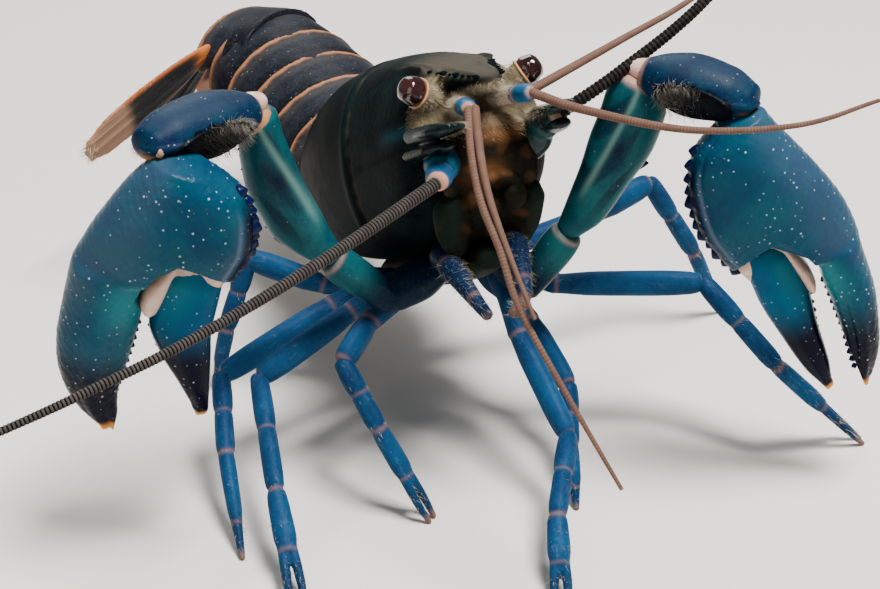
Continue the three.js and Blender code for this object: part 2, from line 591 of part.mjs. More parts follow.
function clawLeg(side, arm, palmRows, palmTip, dactylRows, dactylTip) {
  const { joints, carpus, merus, spines, towards } = arm;
  const [base, ischium, elbow, wrist, tip] = joints.map((p) => at(...p));
  const frame = clawFrame(wrist, tip, towards);
  const hip = onBody(side === 'right' ? -4.6 : 4.6, -9.2, -4.6);
  addNode(`${side}_cheliped_ischium`, SHELL.teal, GLOSS, (grow) => {
    const coxa = limbPiece(hip, base, at(0, 0, 1),
      [[0.02, 2.2, 2.2], [0.4, 2.9, 2.8], [0.9, 2.4, 2.3]], grow, 10);
    return coxa.add(limbPiece(base, ischium, at(0, 0, 1),
      [[-0.05, 2.0, 2.0], [0.3, 2.3, 2.2], [0.75, 2.5, 2.4], [0.95, 2.3, 2.2]], grow, 10));
  });
  const meral = elbow.clone().sub(ischium);
  const thorns = spines.map(([t, w, c]) => {
    const point = ischium.clone()
      .addScaledVector(meral, t)
      .addScaledVector(frame.inner, w)
      .addScaledVector(frame.face, c);
    const way = frame.inner.clone()
      .multiplyScalar(Math.sign(w))
      .addScaledVector(frame.face, c * 0.1)
      .addScaledVector(meral, 0.02);
    return spine(point, way, 0.8, 1.7, 1.4, 5);
  });
  addNode(`${side}_cheliped_merus`, SHELL.teal, GLOSS,
    (grow) => limbPiece(ischium, elbow, frame.inner, merus, grow, 12), thorns);
  const [carpusStart, carpusEnd] = carpus.map((p) => at(...p));
  const carpusSpine = carpusStart.clone().lerp(carpusEnd, 0.5).addScaledVector(frame.along, 3.2);
  addNode(`${side}_cheliped_carpus`, SHELL.navy, GLOSS,
    (grow) => limbPiece(carpusStart, carpusEnd, at(0, 0, 1), CARPUS, grow, 12),
    [spine(carpusSpine, frame.along, 0.8, 1.6, 1.2, 5)]);
  addNode(`${side}_cheliped_palm`, SHELL.blue, GLOSS,
    (grow) => clawPiece(frame, palmRows, palmTip, grow, 14), [
      ...teethAlong(frame, palmRows, 2, 3, palmRows[5][0] - 1.5, PALM_TEETH, 1, 7),
      ...teethAlong(frame, palmRows, 2, palmRows[8][0], palmRows.at(-2)[0], FINGER_TEETH, 0.8, 11)
    ]);
  addNode(`${side}_cheliped_dactyl`, SHELL.navy, GLOSS,
    (grow) => clawPiece(frame, dactylRows, dactylTip, grow, 12),
    teethAlong(frame, dactylRows, 1, dactylRows[3][0], dactylRows.at(-2)[0] + 1, 4, 0.7, 13));
}
clawLeg('right', RIGHT_CHELIPED, RIGHT_PALM, [42, -0.3], RIGHT_DACTYL, [36.4, 9.1]);
clawLeg('left', LEFT_CHELIPED, LEFT_PALM, [43.9, 0.2], LEFT_DACTYL, [42.2, 3.2]);

// Walking legs: an upper and a lower length each, with a small pincer on the front two pairs
for (const [name, { pincer, joints }] of Object.entries(WALKING_LEGS)) {
  const [base, ischium, knee, ankle, foot] = joints.map((p) => at(...p));
  const upright = at(0, 0, 1);
  addNode(`${name}_leg_upper`, SHELL.leg, GLOSS, (grow) => {
    const hip = limbPiece(base, ischium, upright,
      [[0.0, 1.9, 1.9], [0.25, 2.1, 2.0], [0.5, 1.6, 1.5], [0.97, 1.6, 1.5]], grow, 8);
    return hip.add(limbPiece(ischium, knee, upright,
      [[-0.02, 1.5, 1.4], [0.25, 1.75, 1.5], [0.7, 1.85, 1.5], [0.94, 1.5, 1.35]], grow, 8));
  });
  addNode(`${name}_leg_lower`, SHELL.leg, GLOSS, (grow) => {
    const shin = limbPiece(knee, ankle, upright, [[0.0, 1.2, 1.2], [0.15, 1.4, 1.3], [0.6, 1.5, 1.4],
      [0.95, 1.25, 1.2]], grow, 8);
    const down = foot.clone().sub(ankle);
    const apart = down.clone().cross(at(0, 0, 1)).normalize();
    if (!pincer) {
      return shin.add(limbPiece(ankle, foot, upright, [[-0.02, 1.1, 1.1], [0.2, 1.2, 1.1], [0.6, 1.0, 0.9],
        [0.68, 0.75, 0.7], [0.97, 0.4, 0.4]], grow, 8));
    }
    const split = ankle.clone().addScaledVector(down, 0.5);
    const hand = limbPiece(ankle, split, apart, [[-0.02, 1.1, 1.1], [0.3, 1.4, 1.2], [0.75, 1.5, 1.2],
      [1, 1.2, 1.0]], grow, 8);
    const fingers = [-1, 1].map((way) => limbPiece(split.clone().addScaledVector(apart, way * 0.6),
      foot.clone().addScaledVector(apart, way * PINCER_OPEN), apart,
      [[-0.1, 0.7, 0.7], [0.5, 0.6, 0.55, way * 0.2], [0.97, 0.38, 0.4]], grow, 6));
    return joined(shin.add(hand), fingers);
  });
}

// The floor trims every foot to a small flat.
const ground = solidFrom(
  new THREE.BoxGeometry(400, 400, 20),
  new THREE.Matrix4().makeTranslation(0, 0, -10)
);

// Later nodes keep a thin joint gap to earlier ones.
function fitTogether() {
  nodes.forEach((node, i) => {
    let solid = node.solid.subtract(ground);
    nodes.slice(i + 1).forEach((other) => {
      if (solid.intersect(other.grown).volume() > 0) {
        solid = solid.subtract(other.grown);
      }
    });
    node.solid = largest(solid);
  });
}
fitTogether();

// The named meshes, with the origin under the middle of the whole animal
const crayfish = new THREE.Group();
crayfish.name = 'cherax_crayfish';
for (const { name, colour, finish, solid } of nodes) {
  const mesh = solid.getMesh();
  const geometry = new THREE.BufferGeometry();
  geometry.setAttribute('position', new THREE.Float32BufferAttribute(mesh.vertProperties, mesh.numProp));
  geometry.setIndex(Array.from(mesh.triVerts));
  geometry.computeVertexNormals();
  const piece = new THREE.Mesh(geometry, new THREE.MeshStandardMaterial({ color: colour, ...finish }));
  piece.name = name;
  crayfish.add(piece);
}
const size = new THREE.Box3().setFromObject(crayfish);
const middle = size.getCenter(at());
crayfish.position.set(-middle.x, -middle.y, -size.min.z);

export default crayfish;
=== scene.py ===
"""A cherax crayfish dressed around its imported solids: shell, claws, legs, feelers, eyes and setae.

Sizes are millimetres in the animal's own stance. Every mesh is moved into the frame, in metres, when it
is cast.
"""
import logging
import math
from collections.abc import Callable, Sequence
from dataclasses import dataclass
from enum import Enum

import bpy
import numpy as np
from mathutils import Matrix, Vector


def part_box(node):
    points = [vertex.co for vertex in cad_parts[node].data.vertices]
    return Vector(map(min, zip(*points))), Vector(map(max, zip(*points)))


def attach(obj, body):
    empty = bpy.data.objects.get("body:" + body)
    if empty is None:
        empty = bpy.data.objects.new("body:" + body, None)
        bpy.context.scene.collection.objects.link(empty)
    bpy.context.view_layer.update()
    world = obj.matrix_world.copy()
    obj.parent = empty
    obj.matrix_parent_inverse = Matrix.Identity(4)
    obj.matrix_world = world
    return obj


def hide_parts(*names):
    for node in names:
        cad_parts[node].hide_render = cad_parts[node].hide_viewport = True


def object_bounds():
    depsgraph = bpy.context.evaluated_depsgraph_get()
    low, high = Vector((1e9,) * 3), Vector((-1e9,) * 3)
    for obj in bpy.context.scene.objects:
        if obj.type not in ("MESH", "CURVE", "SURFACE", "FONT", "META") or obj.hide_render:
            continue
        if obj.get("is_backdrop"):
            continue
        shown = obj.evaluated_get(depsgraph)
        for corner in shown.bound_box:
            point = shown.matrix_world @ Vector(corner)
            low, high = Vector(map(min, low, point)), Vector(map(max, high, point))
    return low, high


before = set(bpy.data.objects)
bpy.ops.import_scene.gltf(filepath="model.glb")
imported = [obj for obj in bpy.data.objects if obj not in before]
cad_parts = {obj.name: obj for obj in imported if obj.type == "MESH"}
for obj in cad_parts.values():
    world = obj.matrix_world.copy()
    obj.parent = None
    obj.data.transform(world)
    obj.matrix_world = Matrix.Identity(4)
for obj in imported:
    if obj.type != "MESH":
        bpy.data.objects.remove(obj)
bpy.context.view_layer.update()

LOG = logging.getLogger("crayfish")
Array = np.ndarray
Rows = Sequence[Sequence[float]]
Colour = tuple[float, float, float]
Pieces = list[bpy.types.Object]
Socket = bpy.types.NodeSocket
Tree = bpy.types.NodeTree
Masks = dict[str, Array]
BODY = "root"
FLOOR = 0.0
UP = np.array([0.0, 0.0, 1.0])
EYE = (7.9, -22.5, 18.0)


class Side(Enum):
    """The animal's two sides, with the sign of x on each."""

    RIGHT = -1
    LEFT = 1

    @property
    def word(self) -> str:
        """The side's name in node and piece names."""
        return self.name.lower()


def turn_about(axis: str, degrees: float) -> Array:
    """A rotation matrix.

    Args:
        axis: X, Y or Z.
        degrees: The angle.

    Returns:
        The matrix, three by three.
    """
    return np.array(Matrix.Rotation(math.radians(degrees), 3, axis))


def unit(vector: Array) -> Array:
    """A vector at length one."""
    return vector / np.linalg.norm(vector)


def fade(values: Array, low: float, high: float) -> Array:
    """A smooth step from 0 at low to 1 at high."""
    share = np.clip((values - low) / (high - low), 0, 1)
    return share * share * (3 - 2 * share)


def bell(values: Array, middle: float, width: float) -> Array:
    """A smooth hump of height 1 round a value."""
    return np.exp(-(((values - middle) / width) ** 2))


@dataclass(frozen=True)
class Stance:
    """The body's place and turn, from which every piece takes its place."""

    height: float = 28.0
    head_up: float = 28.5
    roll: float = -1.7

    @property
    def turn(self) -> Array:
        """The body's rotation."""
        return turn_about("X", -self.head_up) @ turn_about("Y", self.roll)

    def on_body(self, x: float, y: float, z: float) -> Array:
        """A point given from the middle of the breastplate."""
        return self.turn @ np.array([x, y, z], float) + UP * self.height

    def to_body(self, points: Array) -> Array:
        """Points given in the body's own frame."""
        return (points - UP * self.height) @ self.turn

    def to_frame(self, points: Array) -> Array:
        """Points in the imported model's frame, in metres, by the place of its right eye.

        Args:
            points: Millimetres in the stance.

        Returns:
            The same points in metres.
        """
        low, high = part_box("right_eye")
        eye = np.array((low + high) / 2)
        return (points - self.on_body(-EYE[0], EYE[1], EYE[2])) / 1000 + eye


STANCE = Stance()
BODY_SIDE = STANCE.turn @ np.array([1.0, 0.0, 0.0])
on_body = STANCE.on_body


def finer(places: Array, values: Array, wanted: Array) -> Array:
    """Values between stations by a cubic that never overshoots.

    Args:
        places: The stations' places, rising.
        values: One row of values a station.
        wanted: The places asked for.

    Returns:
        One row of values a wanted place.
    """
    flat = values.reshape(len(places), -1)
    step = np.diff(places)[:, None]
    slope = np.diff(flat, axis=0) / step
    lean = np.zeros_like(flat)
    product = slope[:-1] * slope[1:]
    total = slope[:-1] + slope[1:]
    lean[1:-1] = np.where(product > 0, 2 * product / np.where(product > 0, total, 1), 0)
    lean[0], lean[-1] = slope[0], slope[-1]
    k = np.clip(np.searchsorted(places, wanted, side="right") - 1, 0, len(places) - 2)
    t = ((wanted - places[k]) / step[k, 0])[:, None]
    result = (
        flat[k] * (2 * t**3 - 3 * t**2 + 1)
        + flat[k + 1] * (3 * t**2 - 2 * t**3)
        + step[k] * lean[k] * (t**3 - 2 * t**2 + t)
        + step[k] * lean[k + 1] * (t**3 - t**2)
    )
    return result.reshape((len(wanted),) + values.shape[1:])


def along_curve(points: Rows, count: int, closed: bool = False) -> Array:
    """Evenly spaced points on a smooth curve through given ones.

    Args:
        points: The points that the curve passes.
        count: How many points to return.
        closed: Whether the curve comes back to its start.

    Returns:
        The points on the curve.
    """
    knots = np.array(points, float)
    if closed:
        knots = np.vstack([knots[-2:], knots, knots[:3]])
    fine: list[Array] = []
    steps = 12
    padded = knots if closed else np.vstack([2 * knots[0] - knots[1], knots, 2 * knots[-1] - knots[-2]])
    for k in range(1, len(padded) - 2):
        a, b, c, d = padded[k - 1 : k + 3]
        t = np.linspace(0, 1, steps, endpoint=False)[:, None]
        fine.append(0.5 * (2 * b + (c - a) * t + (2 * a - 5 * b + 4 * c - d) * t**2
                           + (3 * b - a - 3 * c + d) * t**3))
    line = np.vstack(fine + [padded[-2][None]])
    if closed:
        line = line[steps : steps + steps * len(points) + 1]
    gone = np.concatenate([[0], np.cumsum(np.linalg.norm(np.diff(line, axis=0), axis=1))])
    wanted = np.linspace(0, gone[-1], count + 1 if closed else count)
    result = np.stack([np.interp(wanted, gone, line[:, i]) for i in range(3)], axis=1)
    return result[:-1] if closed else result


@dataclass(frozen=True)
class Axes:
    """A limb's own axes: along it, to one side, and across."""

    start: Array
    along: Array
    side: Array
    length: float

    @property
    def across(self) -> Array:
        """The third direction."""
        return np.cross(self.along, self.side)

    @classmethod
    def between(cls, start: Array, end: Array, towards: Array) -> "Axes":
        """Axes from one joint to the next.

        Args:
            start: The first joint.
            end: The second joint.
            towards: The way that the side direction leans.

        Returns:
            The axes.
        """
        start, end, towards = (np.array(p, float) for p in (start, end, towards))
        length = float(np.linalg.norm(end - start))
        along = (end - start) / length
        return cls(start, along, unit(towards - along * (towards @ along)), length)

    def point(self, u: float, w: float, c: float = 0.0) -> Array:
        """A point at distances along, to the side and across."""
        return self.start + self.along * u + self.side * w + self.across * c

    def local(self, points: Array) -> Array:
        """Distances along, to the side and across of each point."""
        away = points - self.start
        return np.stack([away @ self.along, away @ self.side, away @ self.across], axis=1)


def hollowed(places: Array, axes: Axes, centre: tuple[float, float, float],
             radii: tuple[float, float, float]) -> Array:
    """Places pushed out of an egg-shaped hollow.

    Args:
        places: The surface's places.
        axes: The axes in which the hollow is given.
        centre: The hollow's centre: along, to the side and across.
        radii: Its half sizes in the same order.

    Returns:
        The places, with those inside the hollow moved to its wall.
    """
    local = (axes.local(places) - np.array(centre)) / np.array(radii)
    reach = np.linalg.norm(local, axis=1)[:, None]
    moved = np.where(reach < 1, local / np.maximum(reach, 1e-6), local) * np.array(radii) + np.array(centre)
    return axes.start + moved[:, :1] * axes.along + moved[:, 1:2] * axes.side + moved[:, 2:] * axes.across


@dataclass
class Skin:
    """A closed surface through rings of equal count, with a pole at each end."""

    rings: Array
    first: Array
    last: Array

    def surface(self) -> tuple[Array, list[tuple[int, ...]]]:
        """The skin's points and faces, which face out."""
        count, around = self.rings.shape[:2]
        points = np.vstack([self.rings.reshape(-1, 3), self.first[None], self.last[None]])
        faces: list[tuple[int, ...]] = []
        for r in range(count - 1):
            for i in range(around):
                a, b = r * around + i, r * around + (i + 1) % around
                faces.append((a, b, b + around, a + around))
        tip, end, back = count * around, count * around + 1, (count - 1) * around
        faces += [((i + 1) % around, i, tip) for i in range(around)]
        faces += [(back + i, back + (i + 1) % around, end) for i in range(around)]
        triangles = np.array([(f[0], f[1], f[2]) for f in faces]
                             + [(f[0], f[2], f[3]) for f in faces if len(f) == 4])
        corners = points[triangles]
        volume = np.einsum("ij,ij->i", corners[:, 0], np.cross(corners[:, 1], corners[:, 2])).sum()
        return points, faces if volume > 0 else [tuple(reversed(f)) for f in faces]


def limb(axes: Axes, stations: Rows, around: int = 40, steps: int = 36,
         ends: tuple[float, float] = (0.45, 0.45)) -> Skin:
    """A limb piece with rounded ends.

    Args:
        axes: The piece's axes.
        stations: Rows of share of the length, half width, half depth and bow.
        around: Points in a ring.
        steps: Rings between the first and last station.
        ends: How far each end reaches past its station, as a share of its half width.

    Returns:
        The skin.
    """
    rows = np.array([list(s) + [0.0] * (4 - len(s)) for s in stations], float)
    wanted = np.linspace(rows[0, 0], rows[-1, 0], steps)
    table = finer(rows[:, 0], rows, wanted)
    turn = np.linspace(0, 2 * math.pi, around, endpoint=False)
    c, s = np.cos(turn), np.sin(turn)

    def ring(share: float, a: float, b: float, bow: float, shift: float = 0.0) -> Array:
        """One ring of the piece."""
        middle = axes.start + axes.along * (share * axes.length + shift) + axes.side * bow
        return middle + a * c[:, None] * axes.side + b * s[:, None] * axes.across

    rings = [ring(*row) for row in table]
    caps = ((table[0], -ends[0]), (table[-1], ends[1]))
    poles = [axes.start + axes.along * (row[0] * axes.length + reach * row[1]) + axes.side * row[3]
             for row, reach in caps]
    for (share, a, b, bow), reach in caps:
        part = []
        for q in (0.92, 0.72, 0.42):
            part.append(ring(share, a * math.sqrt(1 - q * q), b * math.sqrt(1 - q * q), bow, reach * a * q))
        rings = part + rings if reach < 0 else rings + part[::-1]
    return Skin(np.array(rings), poles[0], poles[1])


def ball(centre: Array, axes: Axes, radii: tuple[float, float, float]) -> Skin:
    """An egg-shaped skin with its poles on the axes' long direction."""
    moved = Axes(np.array(centre, float) - axes.along * radii[0] * 0.5, axes.along, axes.side, radii[0])
    near = 0.87
    narrow = [radii[1] * near, radii[2] * near]
    return limb(moved, [[0.0, *narrow], [0.5, radii[1], radii[2]], [1.0, *narrow]], 28, 12,
                (radii[0] / radii[1] * 0.58,) * 2)


def cord_skin(points: Rows, thick: float, thin: float, around: int = 16, steps: int = 40) -> Skin:
    """A tapering round skin along a curve."""
    line = along_curve(points, steps)
    ways = np.gradient(line, axis=0)
    ways /= np.linalg.norm(ways, axis=1)[:, None]
    side = unit(np.cross(ways[0], UP + 0.01))
    rings = []
    for i, (place, way) in enumerate(zip(line, ways)):
        side = unit(side - way * (side @ way))
        other = np.cross(way, side)
        radius = thick + (thin - thick) * i / (steps - 1)
        turn = np.linspace(0, 2 * math.pi, around, endpoint=False)[:, None]
        rings.append(place + radius * (np.cos(turn) * side + np.sin(turn) * other))
    return Skin(np.array(rings), line[0] - ways[0] * thick * 0.5, line[-1] + ways[-1] * thin * 0.6)


class NodeTree:
    """Short calls for adding nodes to a tree and joining them."""

    def __init__(self, tree: Tree) -> None:
        """Keeps the tree."""
        self.tree = tree

    def add(self, kind: str, inputs: dict | None = None, **settings: object) -> bpy.types.Node:
        """Adds a node.

        Args:
            kind: The node's type.
            inputs: A value or a socket for each named or numbered input.
            **settings: The node's own properties.

        Returns:
            The node.
        """
        node = self.tree.nodes.new(kind)
        for key, value in settings.items():
            setattr(node, key, value)
        for key, value in (inputs or {}).items():
            if isinstance(value, Socket):
                self.tree.links.new(value, node.inputs[key])
            else:
                node.inputs[key].default_value = value
        return node

    def link(self, value: Socket, target: Socket) -> None:
        """Joins two sockets."""
        self.tree.links.new(value, target)

    def named(self, name: str, kind: str) -> Socket:
        """A named attribute of the geometry."""
        return self.add("GeometryNodeInputNamedAttribute", {"Name": name}, data_type=kind).outputs[0]

    def store(self, geometry: Socket, name: str, value: Socket, kind: str = "FLOAT",
              domain: str = "POINT") -> Socket:
        """The geometry with a named attribute stored on it."""
        inputs = {"Geometry": geometry, "Name": name, "Value": value}
        return self.add("GeometryNodeStoreNamedAttribute", inputs, data_type=kind, domain=domain).outputs[0]

    def vector(self, operation: str, first: object, second: object) -> Socket:
        """A sum on two vectors."""
        return self.add("ShaderNodeVectorMath", {0: first, 1: second}, operation=operation).outputs[0]

    def joined(self, x: object, y: object = 0.0, z: object = 0.0) -> Socket:
        """A vector of three numbers."""
        return self.add("ShaderNodeCombineXYZ", {0: x, 1: y, 2: z}).outputs[0]

    def place(self) -> Sequence[Socket]:
        """The three parts of a point's place."""
        return self.add("ShaderNodeSeparateXYZ",
                        {0: self.add("GeometryNodeInputPosition").outputs[0]}).outputs

    def math(self, operation: str, first: object, second: object = 0.0, clamp: bool = False) -> Socket:
        """A sum on one or two numbers."""
        return self.add("ShaderNodeMath", {0: first, 1: second}, operation=operation,
                        use_clamp=clamp).outputs[0]

    def mix(self, share: object, first: object, second: object) -> Socket:
        """A mix of two colours."""
        node = self.add("ShaderNodeMix", data_type="RGBA")
        for key, value in ((0, share), (6, first), (7, second)):
            if isinstance(value, Socket):
                self.tree.links.new(value, node.inputs[key])
            else:
                node.inputs[key].default_value = (*value, 1.0) if isinstance(value, tuple) else value
        return node.outputs[2]

    def span(self, value: object, low: float, high: float, to_low: float = 0.0,
             to_high: float = 1.0) -> Socket:
        """A number moved from one span to another, held at its ends."""
        return self.add("ShaderNodeMapRange", {0: value, 1: low, 2: high, 3: to_low, 4: to_high}).outputs[0]


def group_tree(name: str, kind: str, inputs: dict[str, tuple[str, object]], outputs: dict[str, str]) -> tuple[
        NodeTree, dict[str, Socket], bpy.types.Node]:
    """A new node group with named sockets.

    Args:
        name: The group's name.
        kind: ShaderNodeTree or GeometryNodeTree.
        inputs: Socket type and default value of each input.
        outputs: Socket type of each output.

    Returns:
        The tree, its inputs by name and its output node.
    """
    tree = bpy.data.node_groups.new(name, kind)
    for key, (socket, value) in inputs.items():
        made = tree.interface.new_socket(key, in_out="INPUT", socket_type=socket)
        if value is not None:
            made.default_value = value
    for key, socket in outputs.items():
        tree.interface.new_socket(key, in_out="OUTPUT", socket_type=socket)
    start = tree.nodes.new("NodeGroupInput")
    end = tree.nodes.new("NodeGroupOutput")
    return NodeTree(tree), {key: start.outputs[key] for key in inputs}, end


NUMBER, VECTOR = "NodeSocketFloat", "NodeSocketVector"


class Effects:
    """Shader groups that several finishes share."""

    def __init__(self) -> None:
        """Builds each group once."""
        self.mottle = self._mottle()
        self.dots = self._dots()
        self.scuffs = self._scuffs()
        self.pits = self._pits()

    @staticmethod
    def _mottle() -> Tree:
        """Soft clouds of a second shade."""
        t, i, end = group_tree("Shell mottle", "ShaderNodeTree", {
            "Place": (VECTOR, None), "Scale": (NUMBER, 0.25), "Low": (NUMBER, 0.4), "High": (NUMBER, 0.65),
        }, {"Mask": NUMBER})
        cloud = t.add("ShaderNodeTexNoise",
                      {"Vector": i["Place"], "Scale": i["Scale"], "Detail": 5.0, "Roughness": 0.6,
                                             "Distortion": 0.6})
        node = t.add("ShaderNodeMapRange", {0: cloud.outputs[0], 1: i["Low"], 2: i["High"]})
        t.link(node.outputs[0], end.inputs["Mask"])
        return t.tree

    @staticmethod
    def _dots() -> Tree:
        """Pin-prick dots, one in most cells of a loose grid."""
        t, i, end = group_tree("Pin dots", "ShaderNodeTree", {
            "Place": (VECTOR, None), "Spacing": (NUMBER, 1.5), "Size": (NUMBER, 0.12), "Share": (NUMBER, 0.7),
        }, {"Mask": NUMBER})
        scale = t.math("DIVIDE", 1.0, i["Spacing"])
        cells = t.add("ShaderNodeTexVoronoi", {"Vector": i["Place"], "Scale": scale, "Randomness": 0.85},
                      voronoi_dimensions="3D")
        reach = t.math("MULTIPLY", cells.outputs["Distance"], i["Spacing"])
        chance = t.add("ShaderNodeSeparateColor", {0: cells.outputs["Color"]})
        size = t.math("MULTIPLY", i["Size"], t.span(chance.outputs[1], 0.0, 1.0, 0.6, 1.3))
        dot = t.math("SUBTRACT", 1.0, t.math("DIVIDE", reach, size), True)
        kept = t.math("LESS_THAN", chance.outputs[0], i["Share"])
        sharp = t.math("MULTIPLY", dot, 2.0, True)
        t.link(t.math("MULTIPLY", sharp, kept), end.inputs["Mask"])
        return t.tree

    @staticmethod
    def _scuffs() -> Tree:
        """Pale streaks and scratches, stretched along the piece."""
        t, i, end = group_tree("Scuffs", "ShaderNodeTree", {
            "Place": (VECTOR, None), "Stretch": (NUMBER, 0.25), "Scale": (NUMBER, 1.2),
            "Amount": (NUMBER, 0.4),
        }, {"Mask": NUMBER})
        place = t.vector("MULTIPLY", i["Place"], t.joined(i["Stretch"], 1.0, 1.0))
        noise = t.add("ShaderNodeTexNoise", {"Vector": place, "Scale": i["Scale"], "Detail": 8.0,
                                             "Roughness": 0.75, "Distortion": 1.2})
        mask = t.span(noise.outputs[0], 0.55, 0.78)
        t.link(t.math("MULTIPLY", mask, i["Amount"], True), end.inputs["Mask"])
        return t.tree

    @staticmethod
    def _pits() -> Tree:
        """Height of a finely pitted shell."""
        t, i, end = group_tree("Shell pits", "ShaderNodeTree", {
            "Place": (VECTOR, None), "Spacing": (NUMBER, 0.5), "Depth": (NUMBER, 1.0),
        }, {"Height": NUMBER})
        scale = t.math("DIVIDE", 1.0, i["Spacing"])
        cells = t.add("ShaderNodeTexVoronoi", {"Vector": i["Place"], "Scale": scale})
        pit = t.span(cells.outputs["Distance"], 0.0, 0.35, -1.0, 0.0)
        waves = t.add("ShaderNodeTexNoise", {"Vector": i["Place"], "Scale": 0.7, "Detail": 3.0})
        total = t.math("ADD", t.math("MULTIPLY", pit, i["Depth"]), t.math("MULTIPLY", waves.outputs[0], 1.5))
        t.link(total, end.inputs["Height"])
        return t.tree


def new_finish(name: str) -> tuple[bpy.types.Material, NodeTree]:
    """A new material and its node tree."""
    material = bpy.data.materials.new(name)
    material.use_nodes = True
    return material, NodeTree(material.node_tree)


def set_finish(material: bpy.types.Material, values: dict[str, object]) -> bpy.types.Material:
    """Gives the material's shader a socket or a plain value for each named input."""
    principled = material.node_tree.nodes["Principled BSDF"]
    for name, value in values.items():
        if isinstance(value, Socket):
            material.node_tree.links.new(value, principled.inputs[name])
        else:
            principled.inputs[name].default_value = value
    return material


@dataclass(frozen=True)
class ShellFinish:
    """A hard shell's finish. Masks named tone, rim, glow and tip on the mesh place its other colours; on some
    pieces tone also carries painted shade and glow painted highlights.
    """

    name: str
    base: Colour
    shade: Colour
    tone: Colour = (0.01, 0.02, 0.05)
    rim: Colour = (0.55, 0.32, 0.22)
    glow: Colour = (0.03, 0.3, 0.33)
    tip: Colour = (0.8, 0.3, 0.03)
    scuff: Colour = (0.35, 0.42, 0.45)
    roughness: float = 0.34
    coat: float = 0.25
    mottle_scale: float = 0.22
    dot_amount: float = 0.0
    dot_spacing: float = 1.7
    dot_size: float = 0.17
    scuff_amount: float = 0.3
    scuff_stretch: float = 0.25
    pit_spacing: float = 0.5
    bump: float = 0.25
    specular: float = 0.1
    grain: float = 0.14

    def build(self, effects: Effects) -> bpy.types.Material:
        """The material.

        Args:
            effects: The shared shader groups.

        Returns:
            The material, named after the finish.
        """
        material, t = new_finish(self.name)
        place = t.add("ShaderNodeAttribute", attribute_name="place").outputs["Vector"]

        def group(tree: Tree, **values: float) -> Socket:
            """A shared group on this finish's place, with its own values."""
            return t.add("ShaderNodeGroup", {"Place": place, **values}, node_tree=tree).outputs[0]

        colour = t.mix(group(effects.mottle, Scale=self.mottle_scale), self.base, self.shade)
        for name in ("tone", "glow", "rim", "tip"):
            mask = t.add("ShaderNodeAttribute", attribute_name=name).outputs["Fac"]
            colour = t.mix(mask, colour, getattr(self, name))
        scuffs = group(effects.scuffs, Amount=self.scuff_amount, Stretch=self.scuff_stretch)
        colour = t.mix(scuffs, colour, self.scuff)
        speckle = group(effects.mottle, Scale=2.6, Low=0.5, High=0.72)
        colour = t.mix(t.math("MULTIPLY", speckle, self.grain), colour, self.scuff)
        height = group(effects.pits, Spacing=self.pit_spacing)
        if self.dot_amount > 0:
            dots = group(effects.dots, Spacing=self.dot_spacing, Size=self.dot_size)
            colour = t.mix(t.math("MULTIPLY", dots, self.dot_amount), colour, (0.72, 0.8, 0.85))
            height = t.math("ADD", height, dots)
        bump = t.add("ShaderNodeBump", {"Height": height, "Strength": self.bump, "Distance": 0.0001})
        rough = t.math("ADD", t.math("MULTIPLY", scuffs, 0.4), self.roughness, True)
        return set_finish(material, {
            "Base Color": colour, "Roughness": rough, "Normal": bump.outputs[0],
            "Specular IOR Level": self.specular, "Coat Weight": self.coat, "Coat Roughness": 0.12})


@dataclass(frozen=True)
class PlainFinish:
    """A finish of one colour with soft clouds of a second, for eyes, feelers, setae and joint skin."""

    name: str
    base: Colour
    shade: Colour
    roughness: float = 0.5
    coat: float = 0.0
    bands: Colour | None = None
    mottle_scale: float = 0.6
    specular: float = 0.4

    def build(self, effects: Effects) -> bpy.types.Material:
        """The material.

        Args:
            effects: The shared shader groups.

        Returns:
            The material, named after the finish.
        """
        material, t = new_finish(self.name)
        spot = t.add("ShaderNodeTexCoord").outputs["Object"]
        place = t.add("ShaderNodeMapping", {"Vector": spot, "Scale": (1000.0, 1000.0, 1000.0)}).outputs[0]
        cloud = t.add("ShaderNodeGroup", {"Place": place, "Scale": self.mottle_scale},
                      node_tree=effects.mottle)
        colour = t.mix(cloud.outputs[0], self.base, self.shade)
        # bands: dark rings at the feelers' narrow joints; on the antenna whips they are near black, partly
        # the joints' colour and partly painted shade between segments
        if self.bands is not None:
            ring = t.add("ShaderNodeAttribute", attribute_name="ring").outputs["Fac"]
            colour = t.mix(t.span(ring, 0.24, 0.36), colour, self.bands)
        height = t.add("ShaderNodeGroup", {"Place": place, "Spacing": 0.3}, node_tree=effects.pits).outputs[0]
        bump = t.add("ShaderNodeBump", {"Height": height, "Strength": 0.12, "Distance": 0.0001})
        rough = t.span(cloud.outputs[0], 0.0, 1.0, self.roughness, min(1.0, self.roughness + 0.1))
        return set_finish(material, {
            "Base Color": colour, "Roughness": rough, "Normal": bump.outputs[0],
            "Specular IOR Level": self.specular, "Coat Weight": self.coat, "Coat Roughness": 0.04})


